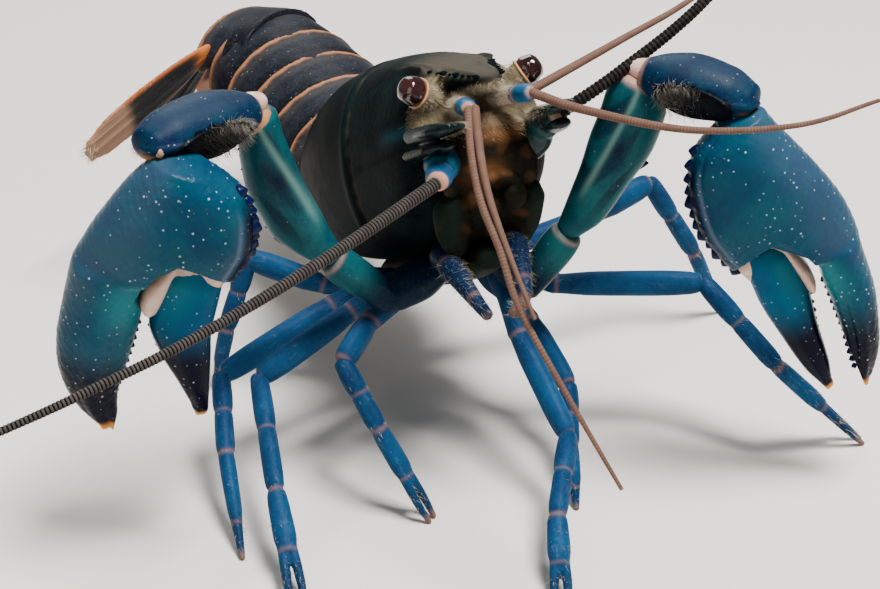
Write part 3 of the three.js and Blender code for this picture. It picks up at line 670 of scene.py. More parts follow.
class Finishes:
    """Every finish of the animal, built once."""

    ALL = (
        ShellFinish("carapace", (0.001, 0.003, 0.004), (0.003, 0.009, 0.009), tone=(0.1, 0.085, 0.062),
                    rim=(0.2, 0.15, 0.1), glow=(0.006, 0.05, 0.07), tip=(0.22, 0.18, 0.1), mottle_scale=0.16,
                    scuff=(0.03, 0.036, 0.035), scuff_amount=0.2, scuff_stretch=0.5, roughness=0.5, coat=0.0,
                    specular=0.02, grain=0.15),
        ShellFinish("face", (0.002, 0.003, 0.002), (0.008, 0.006, 0.003), tone=(0.2, 0.08, 0.025),
                    rim=(0.36, 0.26, 0.17), glow=(0.006, 0.018, 0.012), mottle_scale=0.4,
                    roughness=0.6, coat=0.0, scuff=(0.08, 0.06, 0.035), scuff_amount=0.25,
                    specular=0.04, grain=0.05),
        ShellFinish("pleon", (0.006, 0.008, 0.013), (0.014, 0.016, 0.022), rim=(0.36, 0.15, 0.06),
                    tone=(0.003, 0.004, 0.006), glow=(0.05, 0.042, 0.035),
                    tip=(0.36, 0.2, 0.11), mottle_scale=0.5, roughness=0.55, coat=0.03, dot_amount=0.25,
                    dot_spacing=0.7, dot_size=0.1, scuff=(0.12, 0.12, 0.14),
                    scuff_amount=0.25, specular=0.08),
        ShellFinish("tail_fan", (0.01, 0.012, 0.016), (0.02, 0.02, 0.021), rim=(0.5, 0.13, 0.035),
                    tone=(0.34, 0.2, 0.13), glow=(0.66, 0.19, 0.04), mottle_scale=0.4,
                    roughness=0.55, coat=0.0, scuff=(0.2, 0.16, 0.13), scuff_amount=0.25),
        ShellFinish("claw", (0.003, 0.034, 0.074), (0.005, 0.058, 0.088), tone=(0.0006, 0.001, 0.007),
                    rim=(0.09, 0.11, 0.17), glow=(0.004, 0.16, 0.18), tip=(0.62, 0.24, 0.03), dot_amount=0.5,
                    mottle_scale=0.12, roughness=0.32, coat=0.0, scuff=(0.07, 0.12, 0.15), scuff_amount=0.03,
                    dot_spacing=0.8, dot_size=0.135, specular=0.07, grain=0.06),
        ShellFinish("claw_finger", (0.002, 0.056, 0.13), (0.003, 0.076, 0.14), tone=(0.0005, 0.0008, 0.008),
                    rim=(0.01, 0.03, 0.1), glow=(0.008, 0.12, 0.15), tip=(0.62, 0.26, 0.04), dot_amount=0.35,
                    mottle_scale=0.2, roughness=0.2, coat=0.0, scuff=(0.05, 0.1, 0.18), scuff_amount=0.03,
                    dot_spacing=0.9, dot_size=0.13, grain=0.0, specular=0.05),
        # wrist: the near-black tone is painted shade in the wrist's hollow
        ShellFinish("wrist", (0.001, 0.009, 0.036), (0.003, 0.026, 0.052), tone=(0.001, 0.001, 0.002),
                    rim=(0.42, 0.24, 0.16), glow=(0.022, 0.036, 0.055),
                    tip=(0.4, 0.17, 0.05), dot_amount=0.22, mottle_scale=0.25, roughness=0.45, coat=0.0,
                    scuff=(0.08, 0.12, 0.18), scuff_amount=0.12, dot_spacing=0.85, dot_size=0.14,
                    specular=0.06, grain=0.05),
        # arm: glow is a painted highlight streak; tone is navy patches and painted shade at the arm's root
        ShellFinish("arm", (0.003, 0.045, 0.062), (0.004, 0.08, 0.086), tone=(0.001, 0.004, 0.018),
                    rim=(0.45, 0.24, 0.17), glow=(0.13, 0.25, 0.21), tip=(0.6, 0.4, 0.12), mottle_scale=0.2,
                    roughness=0.3, coat=0.0, scuff=(0.12, 0.21, 0.19), scuff_amount=0.2, dot_amount=0.2,
                    dot_spacing=1.1, dot_size=0.12, specular=0.05, grain=0.06),
        # leg: tone is the darker navy of jaw legs and toes, and painted shade at the hips
        ShellFinish("leg", (0.002, 0.026, 0.08), (0.004, 0.046, 0.115), tone=(0.0008, 0.003, 0.016),
                    rim=(0.2, 0.11, 0.09), glow=(0.005, 0.08, 0.19), tip=(0.2, 0.1, 0.045), mottle_scale=0.3,
                    roughness=0.5, coat=0.0, scuff=(0.14, 0.2, 0.27), scuff_amount=0.45, scuff_stretch=0.3,
                    grain=0.08, specular=0.06),
        ShellFinish("peduncle", (0.003, 0.05, 0.135), (0.006, 0.085, 0.16), tone=(0.002, 0.008, 0.012),
                    rim=(0.55, 0.26, 0.17), glow=(0.01, 0.17, 0.2), tip=(0.46, 0.36, 0.25),
                    roughness=0.4, coat=0.1, scuff=(0.2, 0.26, 0.3), scuff_amount=0.2),
        ShellFinish("dark_peduncle", (0.002, 0.008, 0.009), (0.004, 0.022, 0.024), tone=(0.002, 0.003, 0.004),
                    rim=(0.3, 0.2, 0.13), glow=(0.01, 0.06, 0.065), tip=(0.3, 0.2, 0.13),
                    roughness=0.35, coat=0.15, scuff=(0.15, 0.15, 0.12), scuff_amount=0.2),
        # scale: glow is a painted highlight along the bar's upper side
        ShellFinish("scale", (0.001, 0.004, 0.004), (0.002, 0.01, 0.009), tone=(0.002, 0.004, 0.004),
                    rim=(0.01, 0.03, 0.028), glow=(0.03, 0.06, 0.06), roughness=0.25, coat=0.0, bump=0.02,
                    scuff=(0.1, 0.15, 0.14), scuff_amount=0.0, grain=0.0, specular=0.16),
        ShellFinish("teeth", (0.001, 0.005, 0.03), (0.002, 0.008, 0.045), rim=(0.06, 0.09, 0.16),
                    glow=(0.2, 0.24, 0.28), roughness=0.3, coat=0.0, scuff=(0.1, 0.13, 0.18),
                    scuff_amount=0.1, specular=0.1, grain=0.0),
        PlainFinish("membrane", (0.56, 0.33, 0.24), (0.64, 0.46, 0.37), roughness=0.38, coat=0.3),
        PlainFinish("joint_brown", (0.3, 0.115, 0.045), (0.42, 0.2, 0.1), roughness=0.45, coat=0.15),
        PlainFinish("wrist_skin", (0.24, 0.13, 0.07), (0.36, 0.23, 0.15), roughness=0.6),
        PlainFinish("fuzz", (0.17, 0.15, 0.12), (0.28, 0.25, 0.2), roughness=0.9),
        PlainFinish("eye", (0.012, 0.003, 0.003), (0.04, 0.01, 0.008), roughness=0.05,
                    coat=1.0, mottle_scale=0.5),
        PlainFinish("eye_rim", (0.42, 0.17, 0.06), (0.5, 0.26, 0.13), roughness=0.5),
        # The antenna whips' near-black bands are partly joint colour and partly painted shade between
        # segments.
        PlainFinish("antenna", (0.048, 0.04, 0.036), (0.07, 0.06, 0.054),
                    bands=(0.0015, 0.001, 0.001), roughness=0.7, specular=0.05),
        PlainFinish("dark_antenna", (0.01, 0.008, 0.007), (0.022, 0.017, 0.014), bands=(0.001, 0.001, 0.001),
                    roughness=0.5, specular=0.05),
        PlainFinish("antennule", (0.12, 0.062, 0.043), (0.16, 0.09, 0.063),
                    bands=(0.1, 0.052, 0.036), roughness=0.6, specular=0.1),
        PlainFinish("setae", (0.36, 0.26, 0.15), (0.46, 0.35, 0.23), roughness=0.7),
        PlainFinish("pale_setae", (0.27, 0.21, 0.13), (0.4, 0.34, 0.24), roughness=0.8),
        PlainFinish("brown_setae", (0.14, 0.07, 0.03), (0.2, 0.11, 0.05), roughness=0.7),
    )

    def __init__(self) -> None:
        """Builds the shared groups and the materials."""
        effects = Effects()
        self._made = {finish.name: finish.build(effects) for finish in self.ALL}

    def __getitem__(self, name: str) -> bpy.types.Material:
        """The material of a finish."""
        return self._made[name]


def wear(piece: bpy.types.Object, slot: str, nodes: Sequence[str] = ()) -> bpy.types.Object:
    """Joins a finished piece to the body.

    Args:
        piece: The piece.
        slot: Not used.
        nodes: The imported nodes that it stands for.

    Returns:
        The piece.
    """
    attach(piece, BODY)
    if nodes:
        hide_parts(*nodes)
    LOG.info("%s: %d faces", piece.name, len(piece.data.polygons))
    return piece


def new_object(name: str, mesh: bpy.types.Mesh) -> bpy.types.Object:
    """A mesh's object, in the scene and at the origin."""
    piece = bpy.data.objects.new(name, mesh)
    bpy.context.scene.collection.objects.link(piece)
    return piece


def settled(piece: bpy.types.Object) -> bpy.types.Mesh:
    """A plain mesh of an object with its modifiers applied; the object is removed."""
    graph = bpy.context.evaluated_depsgraph_get()
    mesh = bpy.data.meshes.new_from_object(piece.evaluated_get(graph), depsgraph=graph)
    name = piece.name
    piece.modifiers.clear()
    bpy.data.objects.remove(piece)
    mesh.name = name
    return mesh


def mesh_points(mesh: bpy.types.Mesh, kind: str = "co") -> Array:
    """The places or normals of a mesh's vertices."""
    values = np.zeros(len(mesh.vertices) * 3, np.float32)
    if kind == "co":
        mesh.vertices.foreach_get("co", values)
    else:
        mesh.vertex_normals.foreach_get("vector", values)
    return values.reshape(-1, 3).astype(float)


@dataclass
class Casting:
    """One piece of the animal: joined skins remeshed to one smooth closed surface, with relief and masks."""

    name: str
    skins: list[Skin]
    finish: str
    slot: str
    nodes: tuple[str, ...] = ()
    voxel: float = 0.3
    smoothing: int = 3
    local: Callable[[Array], Array] | None = None
    relief: Callable[[Array, Array], Array] | None = None
    masks: Callable[[Array], Masks] | None = None
    hairy: Callable[[Array], Array] | None = None

    def make(self, finishes: Finishes) -> bpy.types.Object:
        """Casts the piece.

        Args:
            finishes: The animal's finishes.

        Returns:
            The piece, riding on the body.
        """
        points: list[Array] = []
        faces: list[tuple[int, ...]] = []
        start = 0
        for skin in self.skins:
            own, own_faces = skin.surface()
            points.append(own)
            faces += [tuple(i + start for i in f) for f in own_faces]
            start += len(own)
        mesh = bpy.data.meshes.new(self.name)
        mesh.from_pydata(np.vstack(points).tolist(), [], faces)
        rough = new_object(self.name + "_rough", mesh)
        remesh = rough.modifiers.new("Remesh", "REMESH")
        remesh.mode = "VOXEL"
        remesh.voxel_size = self.voxel
        if self.smoothing:
            smooth = rough.modifiers.new("Smooth", "SMOOTH")
            smooth.iterations = self.smoothing
            smooth.factor = 0.6
        mesh = settled(rough)
        places = mesh_points(mesh)
        if self.relief is not None:
            places = places + self.relief(places, mesh_points(mesh, "normal"))
        places[:, 2] = np.maximum(places[:, 2], FLOOR)
        self.dress(mesh, places)
        mesh.polygons.foreach_set("use_smooth", np.ones(len(mesh.polygons), bool))
        mesh.materials.clear()
        mesh.materials.append(finishes[self.finish])
        piece = new_object(self.name, mesh)
        return wear(piece, self.slot, self.nodes)

    def dress(self, mesh: bpy.types.Mesh, places: Array) -> None:
        """Writes the masks and the local places, and moves the mesh into the frame.

        Args:
            mesh: The mesh, in millimetres.
            places: Its vertices' places after relief.
        """
        local = self.local(places) if self.local else places
        attribute = mesh.attributes.new("place", "FLOAT_VECTOR", "POINT")
        attribute.data.foreach_set("vector", local.astype(np.float32).ravel())
        values = self.masks(places) if self.masks else {}
        if self.hairy:
            values["hairy"] = self.hairy(places)
        for name in ("tone", "rim", "glow", "tip", *(("hairy",) if self.hairy else ())):
            mask = np.clip(values.get(name, np.zeros(len(places))), 0, 1)
            mesh.attributes.new(name, "FLOAT", "POINT").data.foreach_set("value", mask.astype(np.float32))
        mesh.vertices.foreach_set("co", STANCE.to_frame(places).astype(np.float32).ravel())
        mesh.update()


SOCKETS = {"GEOMETRY": "NodeSocketGeometry", "INT": "NodeSocketInt", "MATERIAL": "NodeSocketMaterial"}


class GrowthTrees:
    """Geometry Nodes trees for what repeats over a surface or along a path."""

    def __init__(self) -> None:
        """Builds each tree once."""
        self.setae = self._setae()
        self.feeler = self._feeler()
        self.tubercles = self._tubercles()

    @staticmethod
    def _finish(t: NodeTree, geometry: Socket, material: Socket, end: bpy.types.Node) -> None:
        """Ends a tree in Set Material."""
        made = t.add("GeometryNodeSetMaterial", {"Geometry": geometry, "Material": material})
        t.link(made.outputs[0], end.inputs["Geometry"])

    def _setae(self) -> Tree:
        """Bent hairs over the part of a skin that its hairy mask picks out."""
        t, i, end = group_tree("Setae", "GeometryNodeTree", {
            "Geometry": (SOCKETS["GEOMETRY"], None), "Density": (NUMBER, 1e6), "Length": (NUMBER, 0.0012),
            "Thickness": (NUMBER, 0.00004), "Bend": (NUMBER, 0.0004), "Lean": (VECTOR, (0.0, 0.0, 0.0)),
            "Seed": (SOCKETS["INT"], 1), "Material": (SOCKETS["MATERIAL"], None),
        }, {"Geometry": SOCKETS["GEOMETRY"]})
        mask = t.named("hairy", "FLOAT")
        spread = t.add("GeometryNodeDistributePointsOnFaces", {
            "Mesh": i["Geometry"], "Density": t.math("MULTIPLY", i["Density"], mask), "Seed": i["Seed"]})
        hair = t.add("GeometryNodeMeshCone", {"Vertices": 3, "Side Segments": 3, "Radius Top": 0.0,
                                              "Radius Bottom": i["Thickness"], "Depth": i["Length"]})
        point = t.place()
        share = t.math("DIVIDE", point[2], i["Length"])
        bend = t.math("MULTIPLY", t.math("MULTIPLY", share, share), i["Bend"])
        bent = t.add("GeometryNodeSetPosition", {"Geometry": hair.outputs["Mesh"], "Offset": t.joined(bend)})
        patch = t.joined(share, t.math("MULTIPLY", point[0], 4000.0))
        marked = t.store(bent.outputs[0], "patch", patch, "FLOAT_VECTOR")
        random = t.add("FunctionNodeRandomValue",
                       {0: (-0.45, -0.45, -0.45), 1: (0.45, 0.45, 0.45), "Seed": i["Seed"]},
                       data_type="FLOAT_VECTOR")
        way = t.vector("ADD", t.vector("ADD", spread.outputs["Normal"], i["Lean"]), random.outputs[0])
        turn = t.add("FunctionNodeAlignRotationToVector", {"Vector": way}, axis="Z")
        size = t.add("FunctionNodeRandomValue", {2: 0.55, 3: 1.2, "Seed": i["Seed"]}, data_type="FLOAT")
        placed = t.add("GeometryNodeInstanceOnPoints", {
            "Points": spread.outputs["Points"], "Instance": marked, "Rotation": turn.outputs[0],
            "Scale": size.outputs[1]})
        real = t.add("GeometryNodeRealizeInstances", {"Geometry": placed.outputs[0]})
        patch_size = (0.003, 0.003, 0.0)
        small = t.vector("MULTIPLY", t.named("patch", "FLOAT_VECTOR"), patch_size)
        place = t.vector("ADD", t.named("unwrap", "FLOAT_VECTOR"), small)
        baked = t.store(real.outputs[0], "OFBake", place, "FLOAT2", "CORNER")
        self._finish(t, baked, i["Material"], end)
        return t.tree

    def _feeler(self) -> Tree:
        """A ringed, tapering feeler along a path."""
        t, i, end = group_tree("Ringed feeler", "GeometryNodeTree", {
            "Geometry": (SOCKETS["GEOMETRY"], None), "Thick": (NUMBER, 0.001), "Thin": (NUMBER, 0.0003),
            "Rings": (SOCKETS["INT"], 100), "Depth": (NUMBER, 0.12), "Material": (SOCKETS["MATERIAL"], None),
        }, {"Geometry": SOCKETS["GEOMETRY"]})
        path = t.add("GeometryNodeMeshToCurve", {0: i["Geometry"]})
        fine = t.add("GeometryNodeResampleCurve",
                     {"Curve": path.outputs[0], "Count": t.math("MULTIPLY", i["Rings"], 4.0)})
        share = t.add("GeometryNodeSplineParameter").outputs["Factor"]
        place = t.math("FRACT", t.math("MULTIPLY", share, i["Rings"]))
        place = t.math("ABSOLUTE", t.math("SUBTRACT", place, 0.5))
        hump = t.math("COSINE", t.math("MULTIPLY", place, math.pi))
        base = t.add("ShaderNodeMapRange", {0: share, 1: 0.0, 2: 1.0, 3: i["Thick"], 4: i["Thin"]}).outputs[0]
        swell = t.math("SUBTRACT", 1.0, t.math("MULTIPLY", i["Depth"], t.math("SUBTRACT", 1.0, hump)))
        radius = t.math("MULTIPLY", base, swell)
        sized = t.add("GeometryNodeSetCurveRadius", {"Curve": fine.outputs[0], "Radius": radius})
        marked = t.store(sized.outputs[0], "ring", place)
        circle = t.add("GeometryNodeCurvePrimitiveCircle", {"Resolution": 10, "Radius": 1.0})
        radii = t.add("GeometryNodeInputRadius").outputs[0]
        tube = t.add("GeometryNodeCurveToMesh",
                     {"Curve": marked, "Profile Curve": circle.outputs[0], "Scale": radii,
                                                 "Fill Caps": True})
        smooth = t.add("GeometryNodeSetShadeSmooth", {"Geometry": tube.outputs[0]})
        real = t.add("GeometryNodeRealizeInstances", {"Geometry": smooth.outputs[0]})
        self._finish(t, real.outputs[0], i["Material"], end)
        return t.tree

    def _tubercles(self) -> Tree:
        """Low blunt teeth along a path, leaning the way that each path point's lean attribute says."""
        t, i, end = group_tree("Tubercles", "GeometryNodeTree", {
            "Geometry": (SOCKETS["GEOMETRY"], None), "Radius": (NUMBER, 0.0006), "Height": (NUMBER, 0.0008),
            "Variation": (NUMBER, 0.2), "Seed": (SOCKETS["INT"], 1), "Material": (SOCKETS["MATERIAL"], None),
        }, {"Geometry": SOCKETS["GEOMETRY"]})
        points = t.add("GeometryNodeMeshToPoints", {"Mesh": i["Geometry"]})
        lean = t.named("lean", "FLOAT_VECTOR")
        size = t.named("size", "FLOAT")
        bead = t.add("GeometryNodeMeshIcoSphere", {"Radius": 1.0, "Subdivisions": 3})
        point = t.place()
        waist = t.math("SUBTRACT", 1.0, t.math("MULTIPLY", t.math("MAXIMUM", point[2], 0.0), 0.55))
        narrow = t.joined(t.math("MULTIPLY", point[0], waist), t.math("MULTIPLY", point[1], waist), point[2])
        scaled = t.vector("MULTIPLY", narrow, t.joined(i["Radius"], i["Radius"], i["Height"]))
        tooth = t.add("GeometryNodeSetPosition", {"Geometry": bead.outputs["Mesh"], "Position": scaled})
        worn = t.store(tooth.outputs[0], "rim", t.span(point[2], 0.55, 0.98))
        turn = t.add("FunctionNodeAlignRotationToVector", {"Vector": lean}, axis="Z")
        change = t.add("FunctionNodeRandomValue", {2: t.math("SUBTRACT", 1.0, i["Variation"]),
                                                   3: t.math("ADD", 1.0, i["Variation"]), "Seed": i["Seed"]},
                       data_type="FLOAT")
        placed = t.add("GeometryNodeInstanceOnPoints", {
            "Points": points.outputs[0], "Instance": worn, "Rotation": turn.outputs[0],
            "Scale": t.math("MULTIPLY", size, change.outputs[1])})
        real = t.add("GeometryNodeRealizeInstances", {"Geometry": placed.outputs[0]})
        smooth = t.add("GeometryNodeSetShadeSmooth", {"Geometry": real.outputs[0]})
        self._finish(t, smooth.outputs[0], i["Material"], end)
        return t.tree


def grown(name: str, seed: bpy.types.Mesh, tree: Tree, **inputs: object) -> bpy.types.Object:
    """The plain mesh that a tree makes from a seed mesh.

    Args:
        name: The new piece's name.
        seed: The mesh that the tree starts from.
        tree: The Geometry Nodes tree.
        **inputs: The tree's inputs by name.

    Returns:
        The piece, at the origin.
    """
    start = new_object(name + "_seed", seed)
    modifier = start.modifiers.new("Growth", "NODES")
    modifier.node_group = tree
    for item in tree.interface.items_tree:
        if item.item_type == "SOCKET" and item.in_out == "INPUT" and item.name in inputs:
            modifier[item.identifier] = inputs[item.name]
    mesh = settled(start)
    mesh.name = name
    return new_object(name, mesh)


def coat(name: str, skin: bpy.types.Object, trees: GrowthTrees, material: bpy.types.Material, slot: str,
         **inputs: object) -> bpy.types.Object:
    """Setae on a skin's hairy part, each at its own small patch of an unwrap of that skin.

    Args:
        name: The coat's name.
        skin: The piece that carries it.
        trees: The Geometry Nodes trees.
        material: The setae's material.
        slot: The record's material slot.
        **inputs: The tree's inputs.

    Returns:
        The coat.
    """
    seed = skin.data.copy()
    places = mesh_points(seed)
    low, high = places.min(0), places.max(0)
    shares = (places - low) / (high - low)
    front = shares[:, [0, 2]] * 0.46
    behind = mesh_points(seed, "normal")[:, 1] > 0
    front[behind, 0] += 0.5
    spots = np.concatenate([front + 0.02, np.zeros((len(front), 1))], axis=1)
    seed.attributes.new("unwrap", "FLOAT_VECTOR",
                        "POINT").data.foreach_set("vector", spots.astype(np.float32).ravel())
    piece = grown(name, seed, trees.setae, Material=material, **inputs)
    for extra in ("place", "tone", "rim", "glow", "tip", "hairy", "patch", "unwrap"):
        found = piece.data.attributes.get(extra)
        if found is not None:
            piece.data.attributes.remove(found)
    return wear(piece, slot)


def path_mesh(name: str, points: Array, leans: Array | None = None,
              sizes: Array | None = None) -> bpy.types.Mesh:
    """A chain of points in the frame, with a lean and a size on each.

    Args:
        name: The mesh's name.
        points: Millimetres in the stance.
        leans: The way that each point's tooth leans.
        sizes: Each tooth's size.

    Returns:
        The mesh.
    """
    mesh = bpy.data.meshes.new(name)
    mesh.from_pydata(STANCE.to_frame(points).tolist(), [(k, k + 1) for k in range(len(points) - 1)], [])
    if leans is not None:
        mesh.attributes.new("lean", "FLOAT_VECTOR", "POINT").data.foreach_set(
            "vector", leans.astype(np.float32).ravel())
        mesh.attributes.new("size", "FLOAT", "POINT").data.foreach_set("value", sizes.astype(np.float32))
    return mesh


@dataclass
class SubAssembly:
    """A part of the animal that makes its own pieces."""

    finishes: Finishes
    trees: GrowthTrees

    def build(self) -> Pieces:
        """Makes the pieces."""
        raise NotImplementedError


@dataclass
class Carapace(SubAssembly):
    """The head and gill cover in one shell, with its beak."""

    stations: Rows = (
        (-21.6, 7.4, 19.4, 8.5), (-20.2, 9.2, 20.6, 4.5), (-17, 10.4, 21.8, 1.0), (-12, 11.3, 22.9, -1.4),
        (-6, 12.3, 23.8, -2.6), (1, 13.3, 24.3, -3.2), (9, 14.0, 24.2, -3.2), (16, 13.7, 22.9, -2.6),
        (20, 13.0, 21.5, -1.6), (21.5, 12.4, 20.7, -0.8))
    groove_place: float = 1.5
    groove_depth: float = 0.55
    socket_radius: float = 3.1

    def barrel(self) -> Skin:
        """The shell's barrel."""
        rows = np.array(self.stations)
        wanted = np.linspace(rows[0, 0], rows[-1, 0], 70)
        table = finer(rows[:, 0], rows, wanted)
        turn = np.linspace(0, 2 * math.pi, 96, endpoint=False)
        s, c = np.sin(turn), np.cos(turn)
        rings = []
        for y, half, top, bottom in table:
            middle = bottom + (top - bottom) * 0.46
            x = half * np.sign(s) * np.abs(s) ** 0.86
            z = np.where(c > 0, middle + (top - middle) * c, middle - (middle - bottom) * np.abs(c) ** 0.7)
            rings.append([on_body(a, y, b) for a, b in zip(x, z)])
        return Skin(np.array(rings), on_body(0, rows[0, 0], 14.0), on_body(0, rows[-1, 0], 9.0))

    def groove_line(self, body: Array) -> Array:
        """How far behind the neck groove each point lies."""
        lean = np.abs(body[:, 0]) / 12.5
        return body[:, 1] - (self.groove_place - 5.5 * np.clip(lean, 0, 1) ** 1.3)

    def relief(self, places: Array, normals: Array) -> Array:
        """Groove, ridges, eye sockets and granules."""
        body = STANCE.to_body(places)
        x, y, z = body.T
        behind = self.groove_line(body)
        side = fade(z, 0.0, 3.0)
        rise = -self.groove_depth * bell(behind, 0, 0.55) * side + 0.18 * bell(behind, 1.5, 0.9) * side
        rise += (0.16 * bell(np.abs(x) - (4.9 + 0.06 * (y + 18)), 0, 0.45)
                 * bell(y, -15, 4.5) * fade(z, 15, 19))
        rise += (0.25 * bell(np.abs(x), 3.4 + 0.11 * (-20 - y).clip(-6, 9) * -1, 0.4)
                 * bell(y, -19, 6) * fade(z, 15, 18))
        rise -= 0.22 * bell(np.abs(x) - 2.2, 0, 0.35) * fade(y, 3, 6) * fade(z, 18, 22)
        rise -= 0.3 * bell(z - 9.5 + 0.12 * y, 0, 0.7) * fade(-y, 4, 8) * fade(np.abs(x), 6, 9)
        grain = np.sin(x * 5.1 + 2 * np.sin(z * 1.9)) * np.sin(y * 4.7 + np.cos(x)) * np.sin(z * 5.3)
        rise += 0.05 * np.maximum(grain, 0) * fade(-y, -4, 8)
        result = places + normals * rise[:, None]
        forward = Axes.between(on_body(0, 0, 0), on_body(0, -1, 0), BODY_SIDE)
        for sign in (-1, 1):
            centre = (-EYE[1] + 0.3, sign * EYE[0], EYE[2] - 0.2)
            result = hollowed(result, forward, self.in_axes(forward, centre), (self.socket_radius,) * 3)
        return result - places

    @staticmethod
    def in_axes(axes: Axes, centre: tuple[float, float, float]) -> tuple[float, float, float]:
        """A centre given forward, to the left and up, in the order and signs of the axes."""
        up = STANCE.turn @ UP
        return centre[0], centre[1], centre[2] * float(np.sign(axes.across @ up))

    def masks(self, places: Array) -> Masks:
        """Tan gill cover, cream groove and face edge, teal cheek line, and near-black painted shade kept
        under the beak.
        """
        body = STANCE.to_body(places)
        x, y, z = body.T
        behind = self.groove_line(body)
        flank = fade(behind, 3.0, 12.0) * fade(np.abs(x), 6.0, 11.0) * (1 - fade(z, 18, 23))
        streak = (0.5 + 0.5 * np.sin(z * 1.1 + np.sin(y * 1.7) + 1.4 * np.sin(y * 0.6))
                  * np.sin(y * 0.9 + np.sin(z * 1.4)))
        top = fade(z - 21.2 - 0.2 * (y + 12), -0.7, 0.7) * fade(-y, 7, 19) * (1 - fade(np.abs(x), 3.8, 5.8))
        near_eye = np.minimum(*(np.linalg.norm(places - on_body(s * 7.2, -22.0, 17.6), axis=1)
                                for s in (-1, 1)))
        front = fade(-y, 19.8, 21.4)
        # hollow: under the beak, kept free of cream so it stays near-black as painted shade
        hollow = fade(z, 16.4, 17.4) * (1 - fade(np.abs(x), 3.4, 4.4))
        flesh = np.maximum(fade(4.0 - near_eye, 0, 1.4), fade(z, 11.6, 13.0)) * (1 - hollow) * front
        return {
            "tone": np.maximum(0.16 * flank * (0.2 + 0.8 * streak), 0.5 * top),
            "rim": 0.35 * bell(behind, 0, 0.4) * fade(z, 2, 6) * streak,
            "glow": 0.8 * bell(z - 13.2 + 0.25 * (np.abs(x) - 10), 0, 0.8) * fade(-y, 12, 17)
            * fade(np.abs(x), 8, 9.5),
            "tip": 0.95 * flesh * (1 - fade(z, 19.3, 20.0)),
        }

    def build(self) -> Pieces:
        """Makes the shell and the setae round the eyes."""
        beak_axes = Axes.between(on_body(0, -12, 20.2), on_body(0, -31, 17.0), BODY_SIDE)
        beak = limb(beak_axes, [[0, 4.8, 1.6], [0.42, 4.3, 1.5], [0.7, 3.0, 1.2],
                                [0.93, 1.3, 0.7], [0.99, 0.4, 0.35]])
        skins = [self.barrel(), beak]
        for sign in (-1, 1):
            ridge = Axes.between(on_body(sign * 3.3, -14, 21.6), on_body(sign * 1.3, -28.6, 18.2), BODY_SIDE)
            skins.append(limb(ridge, [[0.04, 0.3, 0.3], [0.3, 0.45, 0.45], [0.95, 0.35, 0.35]], 16, 20))
            brow = Axes.between(on_body(sign * 5.0, -18.8, 20.9), on_body(sign * 5.4, -9.5, 21.7), BODY_SIDE)
            skins.append(limb(brow, [[0.0, 0.2, 0.2], [0.15, 0.35, 0.35], [0.4, 0.45, 0.45], [0.9, 0.3, 0.3]],
                              16, 20))
        shell = Casting("carapace_shell", skins, "carapace", "body_shell", ("carapace",),
                        voxel=0.27, smoothing=4, local=STANCE.to_body, relief=self.relief, masks=self.masks,
                        hairy=self.hairy).make(self.finishes)
        fringe = coat("eye_fringe", shell, self.trees, self.finishes["pale_setae"],
                      "body_shell", Density=2.6e7, Length=0.001, Thickness=0.000028, Bend=0.0003,
                      Lean=(0.0, -0.3, -0.5), Seed=3)
        edge = np.array([(sign * (3.9 - 0.3 * k), -19.5 - 1.35 * k, 20.0 - 0.3 * k)
                         for sign in (-1, 1) for k in range(8)])
        ways = np.array([(sign * 0.7, -0.5, 0.25) for sign in (-1, 1) for _ in range(8)]) @ STANCE.turn.T
        spots = np.array([on_body(*p) for p in edge])
        teeth = grown("beak_teeth",
                      path_mesh("beak_path", spots, ways, np.full(16, 1.0)), self.trees.tubercles,
                      Radius=0.00036, Height=0.0008, Variation=0.5, Seed=4,
                      Material=self.finishes["carapace"])
        return [shell, fringe, wear(teeth, "body_shell")]

    @staticmethod
    def hairy(places: Array) -> Array:
        """Setae in the eye sockets and along the front edge."""
        x, y, z = STANCE.to_body(places).T
        near = np.minimum(*(np.linalg.norm(places - on_body(s * 6.4, -21.8, 16.6), axis=1) for s in (-1, 1)))
        hollow = fade(z, 16.4, 17.4) * (1 - fade(np.abs(x), 3.4, 4.4))
        patch = np.maximum(fade(4.4 - near, 0, 1.5), 0.8 * fade(z, 11.4, 13.0))
        return fade(-y, 19.5, 21.0) * patch * (1 - hollow) * (z < 19.5)


